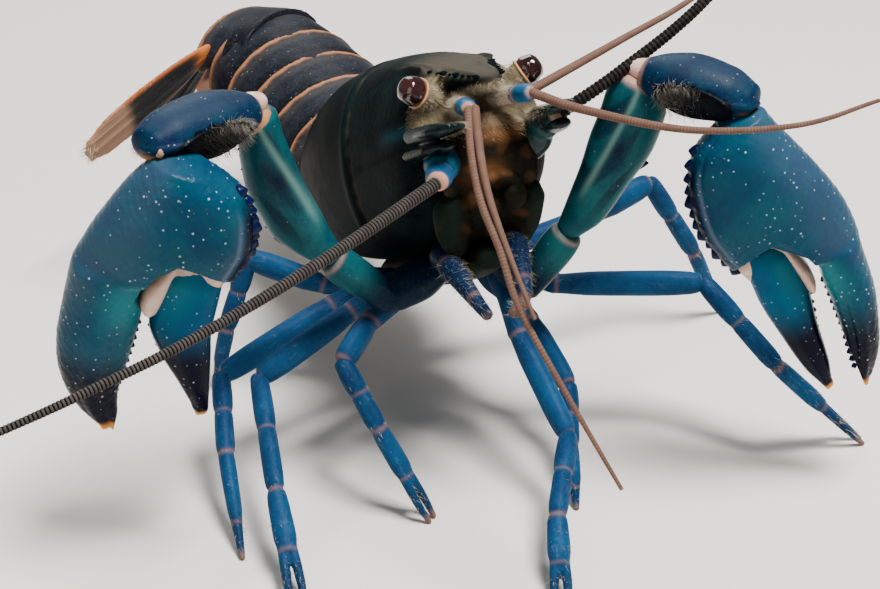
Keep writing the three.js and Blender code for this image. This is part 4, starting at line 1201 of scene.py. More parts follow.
@dataclass
class Face(SubAssembly):
    """The face below the eyes, the breastplate, the jaws and the jaw legs."""

    jaw_legs: tuple[tuple[Side, Rows], ...] = (
        (Side.RIGHT, ((-5.2, -13.6, 31.6), (-5.7, -17.7, 31.9), (-5.0, -23.8, 30.3), (-3.7, -25.4, 28.3))),
        (Side.LEFT, ((3.6, -14.0, 32.6), (3.0, -18.4, 33.6), (0.9, -25.8, 30.6), (-0.9, -26.3, 28.5))))

    @staticmethod
    def masks(places: Array) -> Masks:
        """Orange-brown patches on the face."""
        x, _, z = STANCE.to_body(places).T
        middle = 0.6 * fade(z, 9.0, 10.8) * bell(x, 1.2, 3.4) + 0.45 * bell(x, -1.6, 2.2) * bell(z, 6.2, 1.3)
        patches = 0.16 * fade(np.sin(x * 1.1 + z * 0.7 + np.sin(z)) * np.sin(z * 0.9 - x * 0.5), 0.3, 0.9)
        return {"tone": np.clip(middle + patches, 0, 0.7), "rim": 0.45 * fade(z, 11.2, 12.6),
                "glow": 0.5 * fade(np.abs(x), 4, 6) * fade(6 - z, 0, 3)}

    def build(self) -> Pieces:
        """Makes the face, the breastplate, the jaw legs and their setae."""
        front = Axes.between(on_body(0, -21.9, 8.5), on_body(0, -25, 7.5), BODY_SIDE)
        skins = [limb(front, [[0.05, 7.2, 5.6], [0.5, 6.6, 5.0], [0.95, 4.4, 3.6]], ends=(0.3, 0.2))]
        throat = Axes.between(on_body(0, -12, -1.5), on_body(0, -21.5, 4.0), BODY_SIDE)
        skins.append(limb(throat, [[0, 4.2, 2.6], [0.5, 4.8, 2.8], [0.95, 4.0, 2.4]]))
        for sign in (-1, 1):
            cheek = Axes.between(on_body(sign * 4.6, -16.8, -2.6), on_body(sign * 5.4, -20.8, 3.6), BODY_SIDE)
            skins.append(limb(cheek, [[0, 1.5, 1.6], [0.4, 2.4, 2.1], [0.8, 2.5, 2.1], [1, 1.8, 1.5]],
                              36, 24))
            jaw = Axes.between(on_body(sign * 2.6, -21.5, 3.4), on_body(sign * 1.4, -25.2, 1.8), BODY_SIDE)
            skins.append(limb(jaw, [[0, 1.7, 2.2], [0.4, 1.9, 2.1], [0.72, 1.2, 1.5]], 28, 20))
            plate = Axes.between(on_body(sign * 5.6, -22.0, 4.6), on_body(sign * 4.4, -24.6, 9.2), BODY_SIDE)
            skins.append(limb(plate, [[0, 1.0, 0.9], [0.5, 1.5, 1.0], [1, 0.8, 0.7]], 24, 20))
            lip = Axes.between(on_body(sign * 0.4, -25.1, 5.4), on_body(sign * 3.0, -24.3, 4.6), UP)
            skins.append(limb(lip, [[0, 0.5, 0.6], [0.5, 0.7, 0.7], [1, 0.4, 0.5]], 20, 16))
        face = Casting("face_plate", skins, "face", "body_shell", ("face",), voxel=0.25, smoothing=2,
                       local=STANCE.to_body, masks=self.masks, hairy=self.hairy).make(self.finishes)
        beard = coat("face_setae", face, self.trees, self.finishes["pale_setae"], "body_shell", Density=1.8e7,
                     Length=0.0009, Thickness=0.000024, Bend=0.0004, Lean=(0.0, -0.3, -0.8), Seed=5)
        chest_axes = Axes.between(on_body(0, -14, -4.6), on_body(0, 17, -4.2), BODY_SIDE)
        chest = Casting("breastplate", [limb(chest_axes, [[-0.1, 2.6, 1.6], [0.1, 4.0, 2.6], [0.5, 5.0, 3.2],
                                                          [0.85, 6.0, 2.8], [0.97, 4.6, 1.6]])],
                        "face", "body_shell", ("sternum",), local=STANCE.to_body,
                        masks=lambda p: {"glow": np.full(len(p), 0.4)}).make(self.finishes)
        return [face, beard, chest, *self.jaw_pieces()]

    @staticmethod
    def hairy(places: Array) -> Array:
        """Setae under the eyes, between the feelers and round the jaws."""
        _, y, z = STANCE.to_body(places).T
        return fade(z, 9.8, 12) * fade(-y, 21.5, 22.3)

    def jaw_pieces(self) -> Pieces:
        """The two jaw legs with their inner fringes."""
        pieces = []
        for side, points in self.jaw_legs:
            line = np.array(points)

            def masks(places: Array, line: Array = line) -> Masks:
                """Pink bands at the joints and a brown tip."""
                gone = np.linalg.norm(places - line[0], axis=1)
                return {"rim": 0.4 * np.maximum(bell(gone, 4.2, 0.3), bell(gone, 10.4, 0.3)),
                        "tip": 0.5 * fade(gone, 12, 13.5), "tone": 0.72 + 0.25 * fade(5 - gone, 0, 4)}

            def hairy(places: Array, line: Array = line) -> Array:
                """The fringe on the inner and lower sides."""
                gone = np.linalg.norm(places - line[0], axis=1)
                return fade(gone, 3, 6) * 0.8

            name = side.word + "_jaw_leg"
            leg = Casting(name, [cord_skin(points, 2.0, 0.75, 28, 44)], "leg", "mouth_blue",
                          (side.word + "_maxilliped",), voxel=0.22, smoothing=2, masks=masks,
                          hairy=hairy).make(self.finishes)
            fringe = coat(name + "_fringe", leg, self.trees, self.finishes["pale_setae"],
                          "mouth_blue", Density=5e6, Length=0.001, Thickness=0.00002, Bend=0.0005,
                          Lean=(-0.6 * side.value, -0.2, -0.6), Seed=11 + side.value)
            pieces += [leg, fringe]
        return pieces


@dataclass
class Pleon(SubAssembly):
    """Six hinged rings."""

    lengths: tuple[float, ...] = (4.2, 7.2, 7.4, 7.2, 7.0, 8.2)
    widths: tuple[float, ...] = (11.8, 12.2, 12.2, 11.8, 11.2, 9.8)
    heights: tuple[float, ...] = (14, 15.5, 15.5, 14.5, 13.5, 9.5)
    flaps: tuple[float, ...] = (0.5, 5.2, 5.0, 4.6, 4.0, 0.5)
    pitch_turns: tuple[float, ...] = (-25, -8.5, -4.5, 0, 0, 22)
    yaw_turns: tuple[float, ...] = (3, 3.6, 2.5, 3, 4, 10)
    belly: float = 0.66
    band: float = 0.45
    gap: float = 0.3

    def __post_init__(self) -> None:
        """Finds each ring's hinge."""
        pitch, yaw = STANCE.head_up, 0.0
        place = on_body(0, 20.9, 20.1)
        self.hinges: list[tuple[Array, Array]] = []
        for length, lift, swing in zip(self.lengths, self.pitch_turns, self.yaw_turns):
            pitch, yaw = pitch + lift, yaw + swing
            turn = turn_about("Z", yaw) @ turn_about("X", -pitch) @ turn_about("Y", STANCE.roll)
            self.hinges.append((place, turn))
            place = place + turn @ np.array([0, length, 0])

    def outline(self, hinge: tuple[Array, Array], along: float, half: float,
                height: float, flap: float) -> Array:
        """One section of a ring, in the stance."""
        belly = height * self.belly
        turn = np.linspace(-math.pi / 2, math.pi / 2, 13)
        outer = [[half * math.sin(a), along, belly * math.cos(a) - belly] for a in turn]
        low = [[half - 0.2, along, -belly - flap], [half - 1.2, along, -belly - flap],
               [half - 1.9, along, -belly - 0.3],
               [0, along, -belly - 0.7], [-half + 1.9, along, -belly - 0.3],
               [-half + 1.2, along, -belly - flap], [-half + 0.2, along, -belly - flap]]
        ring = along_curve(outer + low, 96, True)
        return ring @ hinge[1].T + hinge[0]

    def ring_skin(self, i: int) -> Skin:
        """One ring of the pleon."""
        hinge, half, height, flap = self.hinges[i], self.widths[i], self.heights[i], self.flaps[i]
        hem = (half + self.widths[min(i + 1, 5)]) / 2
        start = 1.8 if i == 0 else self.gap / 2
        end = self.lengths[i] - self.gap / 2
        rings = [
            self.outline(hinge, start, half - 0.7, height - 0.8, flap * 0.35 + 0.6),
            self.outline(hinge, start + 0.7, half - 0.35, height - 0.35, flap * 0.6 + 0.5),
            self.outline(hinge, start + 1.4, half - 0.1, height, flap * 0.8 + 0.4),
            self.outline(hinge, end - 1.5, hem + 0.1, height, flap + 0.2),
            self.outline(hinge, end - 1.05, hem + self.band, height + 0.25, flap * 0.9 + 0.4),
            self.outline(hinge, end - 0.35, hem + self.band, height + 0.25, flap * 0.7 + 0.5),
            self.outline(hinge, end, hem + self.band - 0.3, height, flap * 0.5 + 0.6),
        ]
        if i == 0:
            front = (on_body(0, 21.8, 19.6), STANCE.turn)
            rings = [self.outline(front, 0, half - 0.9, 22, 0.6)] + rings[2:]
        places = np.linspace(0, 1, len(rings))
        table = finer(places, np.array(rings), np.linspace(0, 1, 34))
        return Skin(table, table[0].mean(0), table[-1].mean(0))

    def facet(self, i: int) -> Skin:
        """The smooth front of a ring, which slides under the ring ahead."""
        half, height = self.widths[i] - 1.4, self.heights[i] - 1.4
        rings = np.array([self.outline(self.hinges[i], along, half, height, 0.2)
                          for along in np.linspace(-2.2, 2.0, 12)])
        return Skin(rings, rings[0].mean(0), rings[-1].mean(0))

    def build(self) -> Pieces:
        """Makes the six rings with their fringes."""
        pieces = []
        for i, (length, hinge) in enumerate(zip(self.lengths, self.hinges)):
            height = self.heights[i] * self.belly

            def local(places: Array, hinge: tuple[Array, Array] = hinge) -> Array:
                """Places in the ring's own frame."""
                return (places - hinge[0]) @ hinge[1]

            def masks(places: Array, length: float = length, local: Callable = local,
                      height: float = height) -> Masks:
                """Orange-tan hind margin, dark front, mottled sides."""
                x, y, z = local(places).T
                edge = length - 0.75 + 0.1 * np.sin(x * 2.3)
                return {"rim": bell(y, edge, 0.42), "tone": 0.8 * fade(2.4 - y, 0, 1.6),
                        "tip": 0.6 * fade(-z, height + 1.5, height + 4.5),
                        "glow": 0.4 * bell(y, length - 2.2, 0.8)}

            def hairy(places: Array, local: Callable = local, height: float = height) -> Array:
                """Setae along the lower edge of the flaps."""
                _, _, z = local(places).T
                return fade(-z, height + 2.2, height + 3.4)

            skins = [self.ring_skin(i)] + ([self.facet(i)] if i else [])
            if 0 < i < 5:
                skins += self.swimmerets(i)
            ring = Casting(f"pleon_ring_{i + 1}", skins, "pleon", "tail_shell",
                           (f"pleon_{i + 1}",), voxel=0.33, smoothing=2, local=local, masks=masks,
                           hairy=hairy).make(self.finishes)
            pieces.append(ring)
            if 0 < i < 5:
                pieces.append(coat(f"flap_fringe_{i + 1}", ring, self.trees,
                                   self.finishes["brown_setae"], "tail_shell", Density=2.5e6, Length=0.0012,
                                   Thickness=0.00004, Bend=0.0004, Lean=(0, 0, -0.8), Seed=20 + i))
        return pieces

    def swimmerets(self, i: int) -> list[Skin]:
        """The two small paddles under a ring."""
        place, turn = self.hinges[i]
        belly = -self.heights[i] * self.belly
        skins = []
        for sign in (-1, 1):
            root = turn @ np.array([sign * 5.2, self.lengths[i] * 0.5, belly]) + place
            tip = turn @ np.array([sign * 4.4, self.lengths[i] * 0.35 - 1, belly - 6.5]) + place
            axes = Axes.between(root, tip, turn @ np.array([1.0, 0, 0]))
            skins.append(limb(axes, [[0, 0.8, 0.6], [0.3, 0.7, 0.5], [0.7, 1.2, 0.45], [0.95, 0.8, 0.4]],
                              20, 20))
        return skins


@dataclass
class TailFan(SubAssembly):
    """The telson and four uropods, fanned from the last ring."""

    hinge: tuple[Array, ...] = ()
    yaw: float = 32.0
    pitch: float = 70.0
    length: float = 26.5
    spread: tuple[tuple[Side, tuple[float, float]], ...] = ((Side.RIGHT, (36, 66)), (Side.LEFT, (16, 34)))

    def blade(self, name: str, node: str, x: float, angle: float, drop: float, length: float, width: float,
              thick: float) -> Pieces:
        """One blade with its ribs, orange edge and fringe."""
        place, ring_turn = self.hinge
        fan = turn_about("Z", self.yaw) @ turn_about("X", -self.pitch)
        root = ring_turn @ np.array([0, 8.5, -2.6]) + place + fan @ np.array([x, 0, drop])
        turn = fan @ turn_about("Z", angle)
        axes = Axes.between(root, root + turn @ np.array([0, length, 0]), turn @ np.array([1.0, 0, 0]))
        rows = [(0.2, 0.3), (0.12 * length, 0.55), (0.35 * length, 0.85),
                (0.65 * length, 1.0), (0.85 * length, 0.92), (0.97 * length, 0.6)]
        stations = [[y / length, width / 2 * share, thick / 2 * (0.7 + 0.3 * (1 - y / length))]
                    for y, share in rows]
        shares = np.array([s[0] for s in stations])
        halves = np.array([[s[1]] for s in stations])

        def half_at(u: Array) -> Array:
            """The blade's half width at a distance along."""
            return finer(shares, halves, np.clip(u / length, 0, shares[-1]))[:, 0]

        def relief(places: Array, normals: Array) -> Array:
            """A keel, side ribs and fine rays near the end."""
            u, w, _ = axes.local(places).T
            keel = 0.3 * bell(w, 0, 0.3) * fade(u, 1, 4)
            ribs = 0.14 * bell(np.abs(w), 2.0, 0.3) * fade(u, 3, 7)
            rays = 0.06 * np.sin(w * 9) * fade(u, length * 0.66, length * 0.76)
            return normals * (keel + ribs + rays)[:, None]

        def masks(places: Array) -> Masks:
            """Orange margins, a pale end and an orange root."""
            u, w, _ = axes.local(places).T
            edge = fade(np.abs(w) / half_at(u), 0.72, 0.96)
            end = fade(u / length, 0.62, 0.72)
            return {"rim": 0.85 * edge * (1 - 0.5 * end), "tone": 0.9 * end, "glow": 0.9 * bell(u, 1.5, 1.6)}

        def hairy(places: Array) -> Array:
            """A fringe on the outer end and the edges."""
            u, w, _ = axes.local(places).T
            return np.clip(fade(u / length, 0.93, 1.0) + 0.6 * fade(np.abs(w) / half_at(u), 0.9, 1.0)
                           * (u > length * 0.35), 0, 1)

        piece = Casting(name, [limb(axes, stations, 48, 60)], "tail_fan", "tail_shell", (node,),
                        voxel=0.27, smoothing=2, local=axes.local, relief=relief, masks=masks,
                        hairy=hairy).make(self.finishes)
        lean = tuple(float(v) for v in axes.along * 1.4)
        fringe = coat(name + "_fringe", piece, self.trees, self.finishes["setae"], "tail_shell",
                      Density=9e6, Length=0.0013, Thickness=0.00004, Bend=0.0002, Lean=lean, Seed=31)
        return [piece, fringe]

    def build(self) -> Pieces:
        """Makes the five blades."""
        pieces = self.blade("telson_blade", "telson", 0, 0, 0.9, 15, 10, 2.0)
        for side, (inner, outer) in self.spread:
            sign = side.value
            pieces += self.blade(f"{side.word}_inner_blade", f"{side.word}_inner_uropod",
                                 sign * 5.6, -sign * inner, -0.9, self.length * 0.82, 9, 1.3)
            pieces += self.blade(f"{side.word}_outer_blade", f"{side.word}_outer_uropod",
                                 sign * 8.6, -sign * outer, -2.3, self.length, 9, 1.3)
        return pieces


@dataclass
class Head(SubAssembly):
    """Eyes, scales and feelers of one side."""

    side: Side = Side.RIGHT
    antenna: Rows = ()
    strands: tuple[Rows, Rows] = ((), ())
    knee: tuple[float, float, float] = (-7.0, -25.4, 8.2)
    antenna_finish: str = "antenna"
    foot_finish: str = "peduncle"
    rings: int = 215
    cornea: float = 1.95

    def build(self) -> Pieces:
        """Makes the side's pieces."""
        sign, word = self.side.value, self.side.word
        eye = on_body(sign * EYE[0], EYE[1], EYE[2])
        stalk_axes = Axes.between(on_body(sign * 4.6, -20.9, 16.4), eye, UP)
        reach = stalk_axes.length
        stalk = Casting(
            word + "_stalk",
            [limb(stalk_axes, [[0, 1.3, 1.3], [0.4, 1.5, 1.5], [0.62, 1.75, 1.75], [0.78, 1.9, 1.9]],
                  ends=(0.4, 0.2))],
            "carapace", "body_shell", (word + "_eyestalk",), voxel=0.2,
            masks=lambda p: {"tip": np.full(len(p), 0.85)},
            hairy=lambda p: fade(reach * 0.8 - stalk_axes.local(p)[:, 0], 0, 0.8)).make(self.finishes)
        cornea = Casting(word + "_cornea", [ball(eye, stalk_axes, (self.cornea,) * 3)], "eye",
                         "eye", (word + "_eye",), voxel=0.13, smoothing=3).make(self.finishes)
        down = coat(word + "_stalk_fringe", stalk, self.trees, self.finishes["pale_setae"],
                    "body_shell", Density=2.6e7, Length=0.0008, Thickness=0.000028, Bend=0.0002,
                    Lean=(0.0, -0.2, -0.3), Seed=43)
        rim_line = [stalk_axes.point(reach * 0.80, 1.86 * math.cos(a), 1.86 * math.sin(a))
                    for a in np.linspace(0, 2 * math.pi, 25)]
        rim = Casting(word + "_eye_rim", [cord_skin(rim_line, 0.2, 0.2, 12, 60)], "eye_rim", "body_shell",
                      voxel=0.12, smoothing=1).make(self.finishes)
        return [stalk, down, cornea, rim, *self.scale(), *self.antenna_pieces(), *self.antennule()]

    def scale(self) -> Pieces:
        """The scale beside the antenna: a blade, its stout outer bar and its inner fringe."""
        sign, word = self.side.value, self.side.word
        axes = Axes.between(on_body(sign * 8.2, -22.6, 12.4), on_body(sign * 7.2, -33.5, 12.2), BODY_SIDE)
        blade = limb(axes, [[0, 1.2, 0.7], [0.2, 2.3, 0.9], [0.6, 2.7, 0.8],
                            [0.88, 1.9, 0.6], [0.98, 0.8, 0.4]])
        up = float(np.sign(axes.across @ STANCE.turn[:, 2]))
        bar = Axes.between(axes.point(0.3, sign * 1.6), axes.point(11.6, sign * 1.0), BODY_SIDE)
        under = Axes.between(axes.point(-0.6, sign * 0.6, -2.3 * up),
                             axes.point(7.6, sign * 0.2, -1.9 * up), BODY_SIDE)
        skins = [blade,
                 limb(bar, [[0, 0.9, 1.0], [0.4, 0.95, 1.05], [0.75, 0.8, 0.9], [0.97, 0.5, 0.55]], 24, 36),
                 limb(under, [[0, 2.2, 0.95], [0.6, 2.1, 0.95], [0.95, 1.4, 0.7]], 32, 24)]

        def masks(places: Array) -> Masks:
            """A pale painted highlight along the bar's upper side, and the blade's edge."""
            u, w, c = axes.local(places).T
            front = fade(u, 7.6, 8.8)
            # glow: a painted highlight on the upper side, towards the front
            return {"glow": 0.4 * fade(c * up, 0.4, 1.3) * front, "rim": 0.5 * fade(-w * sign, 0.4, 1.6)}

        piece = Casting(word + "_scale_blade", skins, "scale", "leg_blue", (word + "_scale",),
                        voxel=0.15, smoothing=8, local=axes.local, masks=masks,
                        hairy=lambda p: fade(-axes.local(p)[:, 1] * sign, 1.4, 2.2)).make(self.finishes)
        fringe = coat(word + "_scale_fringe", piece, self.trees, self.finishes["pale_setae"],
                      "leg_blue", Density=1.4e7, Length=0.001, Thickness=0.000028, Bend=0.0002,
                      Lean=(-0.8 * sign, -0.8, -0.2), Seed=41)
        return [piece, fringe]

    def antenna_pieces(self) -> Pieces:
        """The antenna's foot and its ringed whip."""
        sign, word = self.side.value, self.side.word
        root = np.array(self.antenna[0])
        knee = on_body(*self.knee)
        first = Axes.between(on_body(sign * 6.0, -22.0, 8.4), knee, BODY_SIDE)
        second = Axes.between(knee, root, BODY_SIDE)
        skins = [limb(first, [[0, 2.2, 2.2], [0.5, 2.4, 2.3], [1, 2.0, 1.9]]),
                 limb(second, [[0, 1.9, 1.8], [0.25, 2.0, 1.85], [0.4, 1.75, 1.6],
                               [0.47, 1.5, 1.45], [0.55, 1.8, 1.65], [0.8, 1.65, 1.5], [0.92, 1.3, 1.3]])]

        def masks(places: Array) -> Masks:
            """Pink rims between and at the end of the segments."""
            u = second.local(places)[:, 0] / second.length
            return {"rim": np.maximum(0.7 * bell(u, 0.52, 0.03), 0.9 * fade(u, 0.89, 0.94)),
                    "tone": 0.7 * fade(-u, -0.05, 0.3), "glow": 0.6 * bell(u, 0.25, 0.15)}

        foot = Casting(word + "_antenna_foot", skins, self.foot_finish, "leg_blue",
                       (word + "_antenna_base",), voxel=0.2, smoothing=2, local=second.local,
                       masks=masks).make(self.finishes)
        line = along_curve(self.antenna, 80)
        whip = grown(word + "_antenna_whip", path_mesh("whip_path", line), self.trees.feeler,
                     Thick=0.0009, Thin=0.0003, Rings=self.rings, Depth=0.24,
                     Material=self.finishes[self.antenna_finish])
        wear(whip, "feeler", (word + "_antenna_near", word + "_antenna_far"))
        return [foot, whip]

    def antennule(self) -> Pieces:
        """The antennule's foot and its two strands."""
        sign, word = self.side.value, self.side.word
        tip = np.array(self.strands[0][0])
        axes = Axes.between(on_body(sign * 2.6, -22.8, 15.4), tip, BODY_SIDE)
        skin = limb(axes, [[0, 1.3, 1.2], [0.5, 1.3, 1.2], [0.66, 1.15, 1.1],
                           [0.72, 1.3, 1.2], [0.92, 1.25, 1.15], [1, 1.05, 1.0]])

        def masks(places: Array) -> Masks:
            """A pink rim round a blue end, on a cream foot."""
            u = axes.local(places)[:, 0] / axes.length
            return {"rim": np.maximum(0.7 * bell(u, 0.68, 0.04), 0.9 * fade(u, 1.0, 1.08)),
                    "tip": 0.8 * fade(0.62 - u, 0, 0.08)}

        foot = Casting(word + "_antennule_foot", [skin], "peduncle", "antennule", voxel=0.18, smoothing=2,
                       local=axes.local, masks=masks,
                       hairy=lambda p: fade(0.7 - axes.local(p)[:, 0] / axes.length, 0,
                                            0.1)).make(self.finishes)
        pieces = [foot, coat(word + "_antennule_fringe", foot, self.trees,
                             self.finishes["pale_setae"], "antennule", Density=2e7, Length=0.0008,
                             Thickness=0.000028, Bend=0.0002, Lean=(0, -0.3, -0.3), Seed=45)]
        for k, points in enumerate(self.strands):
            strand = grown(f"{word}_strand_{k + 1}",
                           path_mesh("strand_path", along_curve(points, 60)), self.trees.feeler,
                           Thick=0.00064, Thin=0.00026, Rings=110, Depth=0.035,
                           Material=self.finishes["antennule"])
            pieces.append(wear(strand, "antennule", (word + "_antennule",) if k == 0 else ()))
        return pieces


@dataclass
class ClawArm(SubAssembly):
    """One great claw with its arm."""

    side: Side = Side.RIGHT
    joints: Rows = ()
    carpus: Rows = ()
    merus: Rows = ()
    towards: tuple[float, float, float] = (1.0, 0.0, 0.0)
    palm: Rows = ()
    palm_tip: tuple[float, float] = (42.0, -0.3)
    dactyl: Rows = ()
    dactyl_tip: tuple[float, float] = (36.4, 9.1)
    peak: float = 1.5
    notch: float = 1.5
    knuckle: float = -3.5
    fullness: float = 0.9

    def __post_init__(self) -> None:
        """Finds the claw's axes."""
        self.base, self.ischium, self.elbow, self.wrist, tip = (np.array(p, float) for p in self.joints)
        self.axes = Axes.between(self.wrist, tip, np.array(self.towards))

    def claw_skin(self, rows: Rows, tip: tuple[float, float]) -> Skin:
        """A skin through claw stations: place, outer edge, inner edge and half thickness."""
        table = np.array(rows, float)
        fine = finer(table[:, 0], table, np.linspace(table[0, 0], table[-1, 0], 84))
        turn = np.linspace(0, 2 * math.pi, 72, endpoint=False)
        c, s = (np.sign(v) * np.abs(v) ** self.fullness for v in (np.cos(turn), np.sin(turn)))
        rings = []
        for u, outer, inner, thick in fine:
            middle, half = (outer + inner) / 2, (inner - outer) / 2
            rings.append([self.axes.point(u, middle + half * a, thick * b) for a, b in zip(c, s)])
        start = self.axes.point(table[0, 0] - 0.9, (table[0, 1] + table[0, 2]) / 2)
        last = table[-1]
        for q in (0.45, 0.75, 0.93):
            u = last[0] + (tip[0] - last[0]) * q
            middle = (last[1] + last[2]) / 2 * (1 - q) + tip[1] * q
            half = (last[2] - last[1]) / 2 * math.sqrt(1 - q * q)
            rings.append([self.axes.point(u, middle + half * a, last[3] * math.sqrt(1 - q * q) * b)
                          for a, b in zip(c, s)])
        return Skin(np.array(rings), start, self.axes.point(*tip))

    def edges(self, rows: Rows, u: Array) -> tuple[Array, Array]:
        """The outer and inner edges at distances along the claw."""
        table = np.array(rows, float)
        fine = finer(table[:, 0], table, np.clip(u, table[0, 0], table[-1, 0]))
        return fine[:, 1], fine[:, 2]

    def palm_masks(self, places: Array) -> Masks:
        """Violet-grey outer edge, teal finger root, navy finger and orange tip."""
        u, w, _ = self.axes.local(places).T
        outer, inner = self.edges(self.palm, u)
        share = (w - outer) / (inner - outer)
        length = self.palm_tip[0]
        finger = fade(u, self.palm[7][0] - 3, self.palm[7][0] + 4)
        return {
            "rim": 0.2 * fade(0.5 - share, 0, 0.4) * (1 - fade(u, length * 0.4, length * 0.65))
            + 0.8 * bell(share, 0.915, 0.014) * (
                1 - finger) * fade(u, 3, 8),
            "glow": 0.75 * bell(u, self.palm[7][0] + 2.6, 4.0) * fade(share, 0.3, 0.8),
            "tone": np.clip(fade(u, length * 0.64, length * 0.82) + fade(share, 0.935, 0.965)
                            * (1 - finger) * fade(u, 2, 6), 0, 1),
            "tip": fade(u, length * 0.95, length * 0.975),
        }

    def palm_relief(self, places: Array, normals: Array) -> Array:
        """A hollow beside the movable finger, a keel on the fixed finger and fine granules."""
        u, w, c = self.axes.local(places).T
        outer, inner = self.edges(self.palm, u)
        share = (w - outer) / (inner - outer)
        front = self.palm[6][0]
        start = self.dactyl[0]
        keel = 0.35 * bell(share, 0.5, 0.13) * fade(u, front + 6, front + 12)
        groove = -0.3 * bell(share, 0.78, 0.09) * fade(u, front + 5, front + 10)
        margin = -0.14 * bell(share, 0.9, 0.03) * (1 - fade(u, front - 4, front - 1))
        grain = 0.035 * np.sin(u * 4.1 + np.sin(w * 3)) * np.sin(w * 4.7 + np.cos(u * 2))
        raised = places + normals * (keel + groove + margin + grain)[:, None]
        u, w, c = self.axes.local(raised).T
        arch = (start[0] - 1.7 + np.where(w > self.peak, 2.0 * ((w - self.peak) / 5.6) ** 2,
                                          8 * ((self.peak - w) / 3.9) ** 2))
        edge = self.palm[8][2] + 0.2 - self.notch * bell(u, start[0] + 4.8, 3.0)
        inside, back = (u > arch) & (w > edge), u - arch < w - edge
        u, w = np.where(inside & back, arch, u), np.where(inside & ~back, edge, w)
        return self.axes.start + np.stack([u, w, c], axis=1) @ np.array([
            self.axes.along, self.axes.side, self.axes.across]) - places

    def tooth_row(self, name: str, rows: Rows, edge: int, spans: tuple[float, float], count: int, size: float,
                  radius: float, height: float, nodes_seed: int) -> bpy.types.Object:
        """A row of blunt teeth along an edge.

        Args:
            name: The row's name.
            rows: The stations whose edge it follows.
            edge: 1 for the outer edge, 2 for the inner.
            spans: The row's first and last place.
            count: How many teeth.
            size: The teeth's size in the middle of the row.
            radius: A tooth's radius in metres.
            height: A tooth's height in metres.
            nodes_seed: The seed of the sizes.

        Returns:
            The row.
        """
        u = np.linspace(*spans, count)
        outer, inner = self.edges(rows, u)
        w = inner if edge == 2 else outer
        ahead = self.edges(rows, u + 0.3)[edge - 1]
        slope = (ahead - w) / 0.3
        sign = 1 if edge == 2 else -1
        leans = sign * self.axes.side + np.outer(0.25 - slope * sign, self.axes.along)
        sunk = np.linspace(0.15, 0.15 if edge == 2 and rows is self.palm and spans[0] < 5 else 0.5, count)
        places = np.array([self.axes.point(a, b - sign * c) for a, b, c in zip(u, w, sunk)])
        sizes = size * (0.75 + 0.25 * np.sin(np.linspace(0.3, math.pi - 0.3, count)))
        row = grown(name, path_mesh("row_path", places, leans, sizes), self.trees.tubercles,
                    Radius=radius, Height=height, Variation=0.18, Seed=nodes_seed,
                    Material=self.finishes["teeth"])
        return wear(row, "claw_navy")

    def build(self) -> Pieces:
        """Makes the arm and claw."""
        word = self.side.word
        return [*self.arm_pieces(word), *self.claw_pieces(word)]

    def claw_pieces(self, word: str) -> Pieces:
        """Palm, movable finger, their teeth and the joint's skin."""
        palm = Casting(word + "_palm", [self.claw_skin(self.palm, self.palm_tip)], "claw", "claw_blue",
                       (word + "_cheliped_palm",), voxel=0.25, smoothing=4, local=self.axes.local,
                       relief=self.palm_relief, masks=self.palm_masks).make(self.finishes)
        length = self.dactyl_tip[0]
        start = self.dactyl[0]

        def finger_masks(places: Array) -> Masks:
            """Blue root, black-navy end and an orange tip."""
            u, w, _ = self.axes.local(places).T
            outer, inner = self.edges(self.dactyl, u)
            share = (w - outer) / (inner - outer)
            gone = (u - start[0]) / (length - start[0])
            return {"tone": np.clip(fade(gone, 0.3, 0.62) + 0.5 * fade(0.2 - share, 0, 0.2)
                                    * fade(gone, 0.1, 0.3), 0, 1),
                    "glow": 0.7 * bell(share, 0.3, 0.25) * bell(gone, 0.15, 0.2),
                    "tip": fade(gone, 0.945, 0.97)}

        def finger_relief(places: Array, normals: Array) -> Array:
            """A keel along the finger."""
            u, w, _ = self.axes.local(places).T
            outer, inner = self.edges(self.dactyl, u)
            share = (w - outer) / (inner - outer)
            return normals * (0.25 * bell(share, 0.55, 0.14) * fade(u, start[0] + 5, start[0] + 9))[:, None]

        finger = Casting(word + "_finger", [self.claw_skin(self.dactyl, self.dactyl_tip)],
                         "claw_finger", "claw_navy",
                         (word + "_cheliped_dactyl",), voxel=0.2, smoothing=3, local=self.axes.local,
                         relief=finger_relief, masks=finger_masks).make(self.finishes)
        middle = (start[1] + start[2]) / 2
        joint = ball(self.axes.point(start[0] + 1.8, middle - 0.1), self.axes,
                     (3.4, (start[2] - start[1]) / 2 + 1.4, 2.7))
        edge = Axes.between(self.axes.point(start[0] - 0.8, start[1] - 0.2),
                            self.axes.point(start[0] + 9.0, self.dactyl[2][1] - 0.3), self.axes.side)
        web = self.notch / 1.5
        lobe = limb(edge, [[0.03, 0.35, 1.6], [0.35, 0.4 + 0.8 * web, 2.4, -0.1],
                           [0.65, 0.4 + 1.3 * web, 2.6, -0.3],
                           [0.85, 0.3 + 1.3 * web, 2.4, -0.2], [0.97, 0.2 + 0.7 * web, 1.7]])
        skin = Casting(word + "_claw_joint", [joint, lobe], "membrane", "claw_blue", voxel=0.2,
                       smoothing=3).make(self.finishes)
        front = self.palm[6][0]
        rows = [
            self.tooth_row(word + "_palm_teeth", self.palm, 2, (2.8, front - 0.7), 12,
                           1.0, 0.00105, 0.00095, 7),
            self.tooth_row(word + "_fixed_teeth", self.palm, 2,
                           (self.palm[8][0] - 2.5, self.palm[-1][0] - 1.6), 13, 0.62, 0.00085, 0.00085, 11),
            self.tooth_row(word + "_finger_teeth", self.dactyl, 1,
                           (self.dactyl[2][0] + 1.5, self.dactyl[-1][0] - 0.8), 12, 0.6,
                           0.00085, 0.00085, 13),
        ]
        return [palm, finger, skin, *rows]

